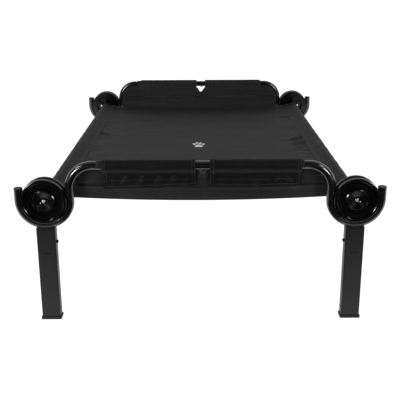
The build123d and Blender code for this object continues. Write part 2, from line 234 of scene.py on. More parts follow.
def coated(name, colour_value, roughness, grain_mm, grain_height_mm, fixed, uneven=0.05):
    """Surface with a fine all-over grain: a sprayed or moulded skin on tube, plate or plastic. Slow
    clouds make it a little duller in places, by uneven."""
    made, tree, shader = new_material(name, fixed)
    place = add_node(tree, "ShaderNodeTexCoord").outputs["Object"]
    grain = add_node(
        tree, "ShaderNodeTexNoise",
        {"Vector": place, "Scale": per_mm(grain_mm), "Detail": 3.0, "Roughness": 0.6},
    )
    clouds = add_node(tree, "ShaderNodeTexNoise", {"Vector": place, "Scale": per_mm(45), "Detail": 4.0})
    bump = add_node(
        tree, "ShaderNodeBump",
        {"Height": grain.outputs["Fac"], "Distance": grain_height_mm * MM, "Strength": 0.6},
    )
    dull = add_node(
        tree, "ShaderNodeMapRange",
        {"Value": clouds.outputs["Fac"], "To Min": roughness - uneven, "To Max": roughness + uneven},
    )
    vary_colour(tree, shader, colour_value, 0.82, 1.25, clouds.outputs["Fac"])
    tree.links.new(dull.outputs[0], shader.inputs["Roughness"])
    tree.links.new(bump.outputs[0], shader.inputs["Normal"])
    return made


def powder_coated_tube(colours):
    """Satin polyester powder coat on drawn steel tube, baked: smooth with a faint orange peel, so that
    it gives long clean highlights with slightly soft edges."""
    fixed = {"IOR": 1.52, "Coat Weight": 0.6, "Coat Roughness": 0.12}
    return coated("powder_coated_steel_tube", colours.tube, 0.2, 2.2, 0.05, fixed)


def powder_coated_leg(colours):
    """Fine-texture powder coat on rectangular steel tube: a dry charcoal surface whose grit spreads the
    light. The grit is about 0.3 mm and is drawn at 1.4 mm so that it shows."""
    fixed = {"IOR": 1.5, "Specular IOR Level": 0.3}
    return coated("powder_coated_steel_leg", colours.leg, 0.46, 1.4, 0.10, fixed, uneven=0.04)


def moulded_nylon(colours):
    """Glass-smooth injection-moulded nylon: near black and glossy, with slow flow marks."""
    fixed = {"IOR": 1.5, "Specular IOR Level": 0.4}
    return coated("moulded_black_nylon", colours.disc, 0.17, 16, 0.05, fixed)


def moulded_plastic(colours):
    """Injection-moulded polypropylene from a spark-eroded mould: matt, with a fine even grain. The
    grain is about 0.2 mm and is drawn at 1.2 mm so that it shows."""
    fixed = {"IOR": 1.49, "Specular IOR Level": 0.35}
    return coated("moulded_matt_polypropylene", colours.foot, 0.42, 1.2, 0.06, fixed)


def zinc_plate(colours):
    """Bright zinc plate on steel: pale, slightly blue metal with fine rolling marks."""
    return coated("zinc_plated_steel", colours.zinc, 0.32, 1.6, 0.03, {"Metallic": 1.0})


def thread_waves(tree, across_mm, along_mm):
    """The cloth's own place, and a 0 to 1 wave across the bed and one along the cloth."""
    place = add_node(tree, "ShaderNodeUVMap", uv_map="cloth").outputs[0]
    parts = add_node(tree, "ShaderNodeSeparateXYZ", {"Vector": place})
    waves = []
    for axis, pitch in (("X", across_mm), ("Y", along_mm)):
        turns = add_node(
            tree, "ShaderNodeMath",
            {0: parts.outputs[axis], 1: 2 * math.pi * per_mm(pitch)}, operation="MULTIPLY",
        )
        wave = add_node(tree, "ShaderNodeMath", {0: turns.outputs[0]}, operation="SINE")
        lifted = add_node(
            tree, "ShaderNodeMath", {0: wave.outputs[0], 1: 0.5, 2: 0.5}, operation="MULTIPLY_ADD"
        )
        waves.append(lifted.outputs[0])
    return place, *waves


def ribbed_weave(colours, sizes):
    """Ribbed solution-dyed polyester, woven with a heavy weft: low ribs run across the bed, crossed by
    fine warp threads. It gives a soft grey bloom at low angles. The ribs are about 1.5 mm and are drawn
    wider so that they show, with slubs that make some ribs a little paler. Painted shade also makes the
    colour darker in the grooves between the ribs and lighter on their tops."""
    made, tree, shader = new_material(
        "ribbed_polyester_weave",
        {"IOR": 1.5, "Specular IOR Level": 0.22, "Sheen Weight": 0.03, "Sheen Roughness": 0.4},
    )
    place, warp, rib = thread_waves(tree, 2.5, sizes.rib_pitch / MM)
    stretch = add_node(
        tree, "ShaderNodeMapping", {"Vector": place, "Scale": (per_mm(420), per_mm(19), 1.0)}
    )
    slub = add_node(
        tree, "ShaderNodeTexNoise", {"Vector": stretch.outputs[0], "Scale": 1.0, "Detail": 4.0}
    ).outputs["Fac"]
    clouds = add_node(tree, "ShaderNodeTexNoise", {"Vector": place, "Scale": per_mm(90), "Detail": 3.0})
    ribs = add_node(tree, "ShaderNodeMath", {0: slub, 1: 3.0, 2: rib}, operation="MULTIPLY_ADD")
    threads = add_node(
        tree, "ShaderNodeMath", {0: warp, 1: 0.35, 2: ribs.outputs[0]}, operation="MULTIPLY_ADD"
    )
    pale = add_node(tree, "ShaderNodeMapRange", {"Value": slub, "To Min": -0.8, "To Max": 1.8})
    tone = add_node(
        tree, "ShaderNodeMath", {0: pale.outputs[0], 1: clouds.outputs["Fac"]}, operation="MULTIPLY"
    )
    # Painted shade: the rib's own height darkens the colour in the grooves and lightens it on the rib
    # tops, mixed with the slubs' paler tone.
    rib_shade_and_slub_tone = add_node(
        tree, "ShaderNodeMath", {0: rib, 1: 0.25, 2: tone.outputs[0]}, operation="MULTIPLY_ADD"
    )
    bump = add_node(
        tree, "ShaderNodeBump", {"Height": threads.outputs[0], "Distance": 0.9 * MM, "Strength": 0.6}
    )
    dull = add_node(tree, "ShaderNodeMapRange", {"Value": rib, "To Min": 0.72, "To Max": 0.6})
    vary_colour(tree, shader, colours.deck_weave, 0.45, 2.0, rib_shade_and_slub_tone.outputs[0])
    tree.links.new(dull.outputs[0], shader.inputs["Roughness"])
    tree.links.new(bump.outputs[0], shader.inputs["Normal"])
    return made


def plain_canvas(colours, sizes):
    """Plain-weave 600 denier polyester canvas: a tight even basket of threads with a dull surface. The
    threads are about 0.5 mm and are drawn wider so that they show. Painted shade makes the colour
    darker in the gaps between the threads and lighter where they cross over."""
    made, tree, shader = new_material(
        "plain_weave_polyester_canvas",
        {"IOR": 1.5, "Specular IOR Level": 0.1, "Sheen Weight": 0.012, "Sheen Roughness": 0.35},
    )
    pitch = sizes.canvas_pitch / MM
    place, warp, weft = thread_waves(tree, pitch, pitch)
    clouds = add_node(tree, "ShaderNodeTexNoise", {"Vector": place, "Scale": per_mm(60), "Detail": 4.0})
    basket = add_node(tree, "ShaderNodeMath", {0: warp, 1: weft}, operation="MULTIPLY")
    # Painted shade: the colour follows the threads' height, lighter where they cross over and darker in
    # the gaps, plus slow random tone from the clouds.
    tone = add_node(
        tree, "ShaderNodeMath",
        {0: basket.outputs[0], 1: 0.3, 2: clouds.outputs["Fac"]}, operation="MULTIPLY_ADD",
    )
    bump = add_node(
        tree, "ShaderNodeBump", {"Height": basket.outputs[0], "Distance": 0.25 * MM, "Strength": 0.5}
    )
    dull = add_node(
        tree, "ShaderNodeMapRange", {"Value": clouds.outputs["Fac"], "To Min": 0.44, "To Max": 0.58}
    )
    vary_colour(tree, shader, colours.canvas, 0.7, 1.35, tone.outputs[0])
    tree.links.new(dull.outputs[0], shader.inputs["Roughness"])
    tree.links.new(bump.outputs[0], shader.inputs["Normal"])
    return made


def pile_tape(name, colours, roughness, tuft_mm):
    """Woven nylon hook-and-loop tape: a dull ground that holds hooks or brushed loops."""
    made, tree, shader = new_material(name, {"Roughness": roughness, "IOR": 1.53})
    place = add_node(tree, "ShaderNodeTexCoord").outputs["Object"]
    tufts = add_node(
        tree, "ShaderNodeTexVoronoi", {"Vector": place, "Scale": per_mm(tuft_mm)}
    ).outputs["Distance"]
    bump = add_node(tree, "ShaderNodeBump", {"Height": tufts, "Distance": 0.5 * MM, "Strength": 0.8})
    vary_colour(tree, shader, colours.tape, 1.8, 0.7, tufts)
    tree.links.new(bump.outputs[0], shader.inputs["Normal"])
    return made


def sewing_thread(colours):
    """Bonded polyester thread: twisted, a little shinier than the cloth."""
    made, tree, shader = new_material("bonded_polyester_thread", {"Roughness": 0.45, "IOR": 1.53})
    place = add_node(tree, "ShaderNodeTexCoord").outputs["Object"]
    twist = add_node(
        tree, "ShaderNodeTexWave", {"Vector": place, "Scale": per_mm(7), "Distortion": 2.0},
        bands_direction="DIAGONAL",
    )
    vary_colour(tree, shader, colours.thread, 0.7, 1.3, twist.outputs["Fac"])
    return made


def print_ink(colours):
    """Screen-printed plastisol ink: a thin pale film that the ribs break up slightly."""
    made, tree, shader = new_material("screen_print_ink", {"Roughness": 0.55, "IOR": 1.5})
    place = add_node(tree, "ShaderNodeTexCoord").outputs["Object"]
    patch = add_node(tree, "ShaderNodeTexNoise", {"Vector": place, "Scale": per_mm(3), "Detail": 3.0})
    vary_colour(tree, shader, colours.print_ink, 0.78, 1.0, patch.outputs["Fac"])
    return made


def painted_floor(stage):
    """Matt white studio floor, lit from below like a light table so that shadows on it stay faint."""
    made, tree, shader = new_material(
        "matt_white_floor",
        {
            "Roughness": 0.9, "Specular IOR Level": 0.1,
            "Emission Color": (1.0, 1.0, 1.0, 1.0), "Emission Strength": 1.0,
        },
    )
    place = add_node(tree, "ShaderNodeTexCoord").outputs["Object"]
    clouds = add_node(tree, "ShaderNodeTexNoise", {"Vector": place, "Scale": 0.6, "Detail": 2.0})
    vary_colour(tree, shader, stage.floor, 0.985, 1.0, clouds.outputs["Fac"])
    return made


def finish(name):
    """The finished material of that name, made on its first use."""
    scene = bpy.context.scene
    colours, sizes = scene.bed_colours, scene.bed_cloth
    made = bpy.data.materials.get(name)
    if made:
        return made
    makers = {
        "powder_coated_steel_tube": lambda: powder_coated_tube(colours),
        "powder_coated_steel_leg": lambda: powder_coated_leg(colours),
        "moulded_black_nylon": lambda: moulded_nylon(colours),
        "moulded_matt_polypropylene": lambda: moulded_plastic(colours),
        "zinc_plated_steel": lambda: zinc_plate(colours),
        "ribbed_polyester_weave": lambda: ribbed_weave(colours, sizes),
        "plain_weave_polyester_canvas": lambda: plain_canvas(colours, sizes),
        "nylon_hook_tape": lambda: pile_tape("nylon_hook_tape", colours, 0.5, 1.6),
        "nylon_loop_tape": lambda: pile_tape("nylon_loop_tape", colours, 0.85, 2.4),
        "bonded_polyester_thread": lambda: sewing_thread(colours),
        "screen_print_ink": lambda: print_ink(colours),
    }
    return makers[name]()


# ---- cloth -----------------------------------------------------------------------------------


def lines(low, high, pitch, *edges):
    """Grid lines from low to high about a pitch apart, with a close pair at each edge that needs a
    crisp step."""
    plain = np.linspace(low, high, max(2, round((high - low) / pitch) + 1))
    pairs = [edge + step for edge in edges for step in (-HEM_STEP, HEM_STEP)]
    clear = 0.6 * MM
    kept = [p for p in plain[1:-1] if all(abs(p - q) > clear for q in pairs)]
    return np.unique(np.array([low, high, *kept, *[p for p in pairs if low < p < high]]))


def ease(value, low, high):
    """0 below low, 1 above high, smooth between. It also runs backwards."""
    t = np.clip((value - low) / (high - low), 0, 1)
    return t * t * (3 - 2 * t)


def ripple(x, t, size, seed):
    """Slow irregular waves between about -1 and 1, the same each time for a seed."""
    draw = np.random.default_rng(seed)
    total = np.zeros_like(x)
    waves = 7
    for _ in range(waves):
        turn, phase = draw.uniform(0, 2 * math.pi, 2)
        wave = 2 * math.pi / (size * draw.uniform(0.6, 1.6))
        total = total + np.sin(wave * (x * math.cos(turn) + t * math.sin(turn)) + phase)
    return total / (waves / 2)


def fold(x, t, centre, slant, reach, width, height):
    """One soft fold: a ridge through a centre, slanting from the bed's width, fading at its ends."""
    turn = math.radians(slant)
    along = (x - centre[0]) * math.cos(turn) + (t - centre[1]) * math.sin(turn)
    away = (t - centre[1]) * math.cos(turn) - (x - centre[0]) * math.sin(turn)
    return height * np.exp(-((away / width) ** 2)) * np.exp(-((along / reach) ** 2))


def stack(x, y, z):
    """Points from their three coordinates."""
    return np.stack(np.broadcast_arrays(x, y, z), -1)


def round_way(angle):
    """Unit ways at these angles, as (inward, height)."""
    return np.stack([np.cos(angle), np.sin(angle)], -1)


def lengths_along(path):
    """Distance from a path's start to each of its points."""
    return np.concatenate([[0], np.cumsum(np.linalg.norm(np.diff(path, axis=0), axis=1))])


class Cloth:
    """Cloth as a grid of points. across holds each row's place over the bed, along each column's place
    down the cloth, and lift moves the points along the cloth's face."""

    def __init__(self, across, along, shape, facing, out=None):
        self.across, self.along, self.facing = np.asarray(across), np.asarray(along), facing
        self.x, self.t = np.meshgrid(self.across, self.along, indexing="ij")
        self.points = shape(self.x, self.t)
        self.fixed_out = out(self.x, self.t) if out else None
        self.outs = self.face_out()

    def face_out(self):
        """Unit way out of the cloth's face at each point."""
        if self.fixed_out is not None:
            return self.fixed_out
        side = np.gradient(self.points, axis=0)
        run = np.gradient(self.points, axis=1)
        across = np.cross(side, run) * self.facing
        return across / np.maximum(np.linalg.norm(across, axis=-1, keepdims=True), 1e-12)

    def lift(self, height):
        """Move each point along the way out by its height."""
        self.points = self.points + self.outs * height[..., None]
        self.outs = self.face_out()

    def at(self, x, t, off=0.0):
        """Point on the cloth at x and t, this far off its middle."""
        i = np.clip(np.searchsorted(self.across, x) - 1, 0, len(self.across) - 2)
        j = np.clip(np.searchsorted(self.along, t) - 1, 0, len(self.along) - 2)
        a = (x - self.across[i]) / (self.across[i + 1] - self.across[i])
        b = (t - self.along[j]) / (self.along[j + 1] - self.along[j])

        def mixed(grid):
            first = grid[i, j] * (1 - a)[..., None] + grid[i + 1, j] * a[..., None]
            second = grid[i, j + 1] * (1 - a)[..., None] + grid[i + 1, j + 1] * a[..., None]
            return first * (1 - b)[..., None] + second * b[..., None]

        return mixed(self.points) + mixed(self.outs) * np.asarray(off)[..., None]


def make_object(name, points, faces, material, smooth_under=50, uv=None):
    """A mesh object from plain arrays, smooth except at sharp edges."""
    mesh = bpy.data.meshes.new(name)
    mesh.from_pydata([tuple(p) for p in points], [], [tuple(f) for f in faces])
    if uv is not None:
        layer = mesh.uv_layers.new(name="cloth")
        corner = np.zeros(len(mesh.loops), np.int32)
        mesh.loops.foreach_get("vertex_index", corner)
        layer.data.foreach_set("uv", np.asarray(uv)[corner].astype(np.float32).ravel())
    mesh.shade_smooth()
    mesh.set_sharp_from_angle(angle=math.radians(smooth_under))
    mesh.update()
    made = bpy.data.objects.new(name, mesh)
    bpy.context.scene.collection.objects.link(made)
    made.data.materials.append(finish(material))
    return made


def sew(name, cloth, material, front, back=None, keep=None, run=None):
    """Closed sheet from a cloth: a front and a back face, this far off the middle, and a rim round
    them. keep says which of the grid's quads are there, and run is the distance along the weave."""
    n, m = cloth.x.shape
    front = np.broadcast_to(front, (n, m))
    back = front if back is None else np.broadcast_to(back, (n, m))
    outer = cloth.points + cloth.outs * front[..., None]
    inner = cloth.points - cloth.outs * back[..., None]
    index = np.arange(n * m).reshape(n, m)
    quads = np.stack([index[:-1, :-1], index[1:, :-1], index[1:, 1:], index[:-1, 1:]], -1)
    quads = quads[keep] if keep is not None else quads.reshape(-1, 4)
    if cloth.facing < 0:
        quads = quads[:, ::-1]
    starts, ends = quads.ravel(), np.roll(quads, -1, axis=1).ravel()
    there, back_again = starts * n * m + ends, ends * n * m + starts
    border = ~np.isin(there, back_again)
    a, b = starts[border], ends[border]
    rim = np.stack([b, a, a + n * m, b + n * m], -1)
    faces = np.concatenate([quads, quads[:, ::-1] + n * m, rim])
    used, faces = np.unique(faces, return_inverse=True)
    faces = faces.reshape(-1, 4)
    points = np.concatenate([outer.reshape(-1, 3), inner.reshape(-1, 3)])[used]
    run = cloth.t if run is None else run
    flat = np.stack([cloth.x, run], -1).reshape(-1, 2)
    return make_object(name, points, faces, material, uv=np.concatenate([flat, flat])[used])


# One stitch, from where the thread comes up to where it goes down: place along the stitch, height over
# the cloth and half thickness, the last two as shares of the thread's thickness.
STITCH_MARKS = np.array([0.06, 0.2, 0.5, 0.8, 0.94])
STITCH_HEIGHTS = np.array([-0.45, 0.2, 0.42, 0.2, -0.45])
STITCH_RADII = np.array([0.275, 0.5, 0.5, 0.5, 0.275])


def stitch_rows(name, rows, thread, stitch):
    """Rows of stitches as one mesh. Each row is (points, outs): a dense path on the cloth's face and
    the way out there."""
    around = 6
    turns = np.linspace(0, 2 * math.pi, around, endpoint=False)
    rings = len(STITCH_MARKS)
    points, faces = [], []
    for path, outs in rows:
        far = lengths_along(path)
        count = max(1, int(far[-1] / stitch))
        pace = far[-1] / count
        for k in range(count):
            marks = k * pace + pace * STITCH_MARKS
            heights = thread * STITCH_HEIGHTS
            spine = np.stack([np.interp(marks, far, path[:, c]) for c in range(3)], -1)
            out = np.stack([np.interp(marks, far, outs[:, c]) for c in range(3)], -1)
            spine = spine + out * heights[:, None]
            ahead = np.gradient(spine, axis=0)
            ahead /= np.maximum(np.linalg.norm(ahead, axis=1, keepdims=True), 1e-12)
            sideways = np.cross(ahead, out)
            sideways /= np.maximum(np.linalg.norm(sideways, axis=1, keepdims=True), 1e-12)
            upright = np.cross(sideways, ahead)
            base = len(points)
            for q in range(rings):
                for turn in turns:
                    ring = sideways[q] * math.cos(turn) + upright[q] * math.sin(turn)
                    points.append(spine[q] + ring * thread * STITCH_RADII[q])
            for q in range(rings - 1):
                for w in range(around):
                    a, b = base + q * around + w, base + q * around + (w + 1) % around
                    faces.append((a, b, b + around, a + around))
            faces.append(tuple(base + w for w in reversed(range(around))))
            faces.append(tuple(base + (rings - 1) * around + w for w in range(around)))
    made = make_object(name, points, faces, "bonded_polyester_thread", smooth_under=80)
    return made


def row(cloth, x, t, off):
    """A stitch row on a cloth: its path and the way out there. A minus off is on the back."""
    x, t = np.broadcast_arrays(np.asarray(x, float), np.asarray(t, float))
    path = cloth.at(x, t, np.full(x.shape, off))
    out = cloth.at(x, t, np.full(x.shape, off + math.copysign(MM, off))) - path
    return path, out / np.linalg.norm(out, axis=-1, keepdims=True)


def along_line(low, high):
    """Close places from low to high, for a row of stitches to follow."""
    return np.linspace(low, high, max(8, int(abs(high - low) / (1.5 * MM))))


def deck_height(x):
    """Top of the deck: it sags a little between the rails."""
    return DECK_EDGE_Z - DECK_SAG * (1 - (np.minimum(np.abs(x), DECK_HALF_W) / DECK_HALF_W) ** 2)


# ---- the end panel's slope -------------------------------------------------------------------


def slope_lines():
    """Where the panel leaves the bar, its way down and its outward face, as (inward, height) from the
    bar's middle, and the angle where it leaves."""
    distance = math.hypot(*PANEL_FOOT)
    angle = math.atan2(PANEL_FOOT[1], PANEL_FOOT[0]) + math.acos(PANEL_R / distance)
    leave = np.array((math.cos(angle), math.sin(angle))) * PANEL_R
    down = (PANEL_FOOT - leave) / np.linalg.norm(PANEL_FOOT - leave)
    return leave, down, np.array((down[1], -down[0])), angle


LEAVE, DOWN, OUT, LEAVE_ANGLE = slope_lines()
OVER_BAR = PANEL_R * (math.radians(195) - LEAVE_ANGLE)  # length of panel that goes over the bar


def from_bar(end, x, inward, height):
    """Points given by their distance in from an end bar and their height over its middle."""
    return stack(x, end * (BAR_Y - inward), BAR_Z + height)


def foot_distance(x, ply):
    """Down the slope from the bar to the deck."""
    return (BAR_Z + LEAVE[1] - deck_height(x) + ply / 2) / -DOWN[1]


def at_height(z):
    """Distance down the slope to a height."""
    return (BAR_Z + LEAVE[1] - z) / -DOWN[1]


def panel_top(x):
    """Upper outline of an end panel, as distance down the slope. It is minus where the panel goes over
    the bar. The notch in its middle is a soft V."""
    far = np.abs(x)
    corner_x = PANEL_HALF_W - CORNER_R
    drop = CORNER_R - np.sqrt(np.maximum(CORNER_R**2 - np.maximum(far - corner_x, 0) ** 2, 0))
    top = np.where(far <= CAP_HALF_W, -OVER_BAR, at_height(SHOULDER_Z - drop))
    middle, half = sum(NOTCH_X) / 2, (NOTCH_X[1] - NOTCH_X[0]) / 2
    share = np.clip(np.abs(x - middle) / half, 0, 1)
    bottom = NOTCH_TOP_Z - NOTCH_DEPTH * (0.08 + 0.92 * np.cos(share * math.pi / 2) ** 1.8)
    inside = (x > NOTCH_X[0]) & (x < NOTCH_X[1])
    return np.where(inside, at_height(bottom), top)


def panel_section(t):
    """(inward, height) of an end panel's middle, and its outward face there."""
    angle = LEAVE_ANGLE + np.maximum(-t, 0) / PANEL_R
    wrap = round_way(angle)
    straight = LEAVE + DOWN * np.maximum(t, 0)[..., None]
    over = (t < 0)[..., None]
    return np.where(over, wrap * PANEL_R, straight), np.where(over, -wrap, OUT)


class PanelCloth(Cloth):
    """An end panel. Its columns run from 0 at the upper outline to 1 at the seam with the deck."""

    def __init__(self, end, across, along, seam_up, ply):
        self.end, self.seam_up, self.ply = end, seam_up, ply

        def down_slope(x, share):
            top = panel_top(x)
            return top + (self.low_edge(x) - top) * share

        def shape(x, share):
            place, _ = panel_section(down_slope(x, share))
            return from_bar(end, x, place[..., 0], place[..., 1])

        def out(x, share):
            _, way = panel_section(down_slope(x, share))
            return stack(0 * x, -end * way[..., 0], way[..., 1])

        super().__init__(across, along, shape, end, out)
        self.s = down_slope(self.x, self.t)

    def low_edge(self, x):
        """Distance down the slope to the seam with the deck."""
        return foot_distance(x, self.ply) - self.seam_up

    def share_of(self, x, s):
        """The column's share, from 0 to 1, at a distance down the slope."""
        top = panel_top(x)
        return np.clip((s - top) / (self.low_edge(x) - top), 0, 1)


def outline_gap(x, s):
    """How far inside the panel's outline a point is, for its hem."""
    far = np.abs(x)
    shoulder_s = at_height(SHOULDER_Z)
    corner_x, corner_s = PANEL_HALF_W - CORNER_R, shoulder_s + CORNER_R
    side = PANEL_HALF_W - far
    round_gap = CORNER_R - np.hypot(far - corner_x, s - corner_s)
    in_corner = (far > corner_x) & (s < corner_s)
    shoulder = np.hypot(np.maximum(CAP_HALF_W - far, 0), np.maximum(s - shoulder_s, 0))
    under_cap = np.where(s > shoulder_s, shoulder, CAP_HALF_W - far)
    cap = np.where(far > CAP_HALF_W, s - shoulder_s, under_cap)
    gap = np.minimum(side, np.where(in_corner, round_gap, np.maximum(cap, 0)))
    beside = np.maximum(np.maximum(NOTCH_X[0] - x, x - NOTCH_X[1]), 0)
    below = np.maximum(s - at_height(NOTCH_TOP_Z - NOTCH_DEPTH), 0)
    return np.minimum(gap, np.hypot(beside, below))


def flap_section():
    """The flap's path round the bar and down to its hem, as (inward, height), the distance along it to
    each point, and the distance to its crease."""
    count, bend_count = 160, 14
    crease = LEAVE + DOWN * CREASE_AT + OUT * FLAP_OFF
    hem = LEAVE + DOWN * HEM_AT + OUT * FLAP_OFF
    last = math.atan2(crease[1], crease[0]) - math.acos(FLAP_R / np.linalg.norm(crease)) + 2 * math.pi
    roll = round_way(np.linspace(math.radians(95), last, count)) * FLAP_R
    run_in = (crease - roll[-1]) / np.linalg.norm(crease - roll[-1])
    soft = min(4 * MM, np.linalg.norm(crease - roll[-1]) * 0.9)
    u = np.linspace(0, 1, bend_count)[:, None]
    bend = crease - run_in * soft * (1 - u) ** 2 + DOWN * soft * u**2
    path = np.concatenate([roll, bend, [hem]])
    far = lengths_along(path)
    return path, far, far[count + bend_count // 2]


FLAP_PATH, FLAP_FAR, FLAP_CREASE = flap_section()
FLAP_LENGTH = FLAP_FAR[-1]

LOW_HEM = 8 * MM  # depth of a flap's lower hem

# How much longer than the pattern each flap hangs, in millimetres, at its left end, middle and right end.
FLAP_DROP = {"left": (5.0, 1.0, -5.0), "right": (-2.0, 0.5, -3.5)}

# Pulled wrinkles in the hanging part of each flap: place over its width, place from crease to hem,
# slant in degrees, half length and half width in millimetres, and height as a share of the setting.
FLAP_FOLDS = {
    "left": (
        (0.23, 0.45, 46, 18, 4.6, 1.1),
        (0.42, 0.40, 54, 17, 5.0, 1.1),
        (0.60, 0.45, 60, 16, 4.6, 0.9),
        (0.76, 0.40, 56, 16, 5.0, 1.0),
        (0.90, 0.50, 52, 10, 3.5, 0.6),
        (0.12, 0.60, 30, 14, 5.0, 0.5),
    ),
    "right": (
        (0.12, 0.45, 52, 12, 3.5, 0.7),
        (0.28, 0.55, 60, 11, 3.5, 0.6),
        (0.49, 0.50, -48, 17, 4.5, 0.9),
        (0.62, 0.45, -40, 12, 4.0, 0.6),
        (0.74, 0.40, 56, 12, 4.0, 0.7),
        (0.88, 0.50, -44, 16, 4.5, 1.0),
        (0.95, 0.35, -50, 10, 3.0, 0.6),
    ),
}


def turn_edge(gap, width, rise):
    """Extra half thickness of a hem this wide: full near the edge, none inside it."""
    return rise * (1 - ease(gap, width - 0.3 * MM, width + 0.3 * MM))


# ---- operators -------------------------------------------------------------------------------

# The finish of each solid piece, by how its name starts. The first that fits is taken.
CAD_FINISHES = (
    ("frame_tube_", "powder_coated_steel_tube"),
    ("side_rail_", "powder_coated_steel_tube"),
    ("leg_stub_", "powder_coated_steel_leg"),
    ("leg_button_", "moulded_matt_polypropylene"),
    ("leg_clip_springs", "zinc_plated_steel"),
    ("leg_", "powder_coated_steel_leg"),
    ("foot_", "moulded_matt_polypropylene"),
    ("disc_rivets", "zinc_plated_steel"),
    ("disc_screws", "zinc_plated_steel"),
    ("disc_", "moulded_black_nylon"),
    ("frame_end_plugs", "moulded_matt_polypropylene"),
    ("frame_button_", "moulded_matt_polypropylene"),
    ("rail_button_", "moulded_matt_polypropylene"),
    ("frame_spigot_", "zinc_plated_steel"),
    ("rail_spigot_", "zinc_plated_steel"),
    ("frame_clip_springs", "zinc_plated_steel"),
    ("rail_clip_springs", "zinc_plated_steel"),
)


class BED_OT_finish_hardware(bpy.types.Operator):
    """Give the frames, legs, discs, feet, buttons and fixings their finishes"""

    bl_idname = "bed.finish_hardware"
    bl_label = "Hardware finishes"

    def execute(self, context):
        for name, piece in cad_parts.items():
            found = [material for start, material in CAD_FINISHES if name.startswith(start)]
            if found:
                piece.data.materials.clear()
                piece.data.materials.append(finish(found[0]))
        return {"FINISHED"}


# Folds in the deck beside the rails: middle in millimetres, slant in degrees, and half length, half
# width and height in millimetres.
DECK_FOLDS = (
    ((336, 390), 24, 30, 9, 4.4),
    ((333, 352), 24, 32, 11, -4.2),
    ((335, 318), 24, 26, 9, 3.0),
    ((334, 46), 30, 34, 9, 4.6),
    ((331, 14), 30, 34, 10, -4.4),
    ((331, -18), 30, 34, 9, 4.4),
    ((331, -48), 30, 32, 9, -4.0),
    ((330, -76), 30, 28, 9, 2.6),
    ((-345, 108), -44, 50, 6, -4.0),
    ((-345, 124), -44, 46, 7, 3.0),
    ((-342, 300), -36, 26, 6, 1.4),
    ((-336, -240), -30, 26, 7, 1.2),
    ((338, -260), 30, 26, 7, 1.3),
)

SEWN = {}  # the deck's cloth, kept for the print that lies on it


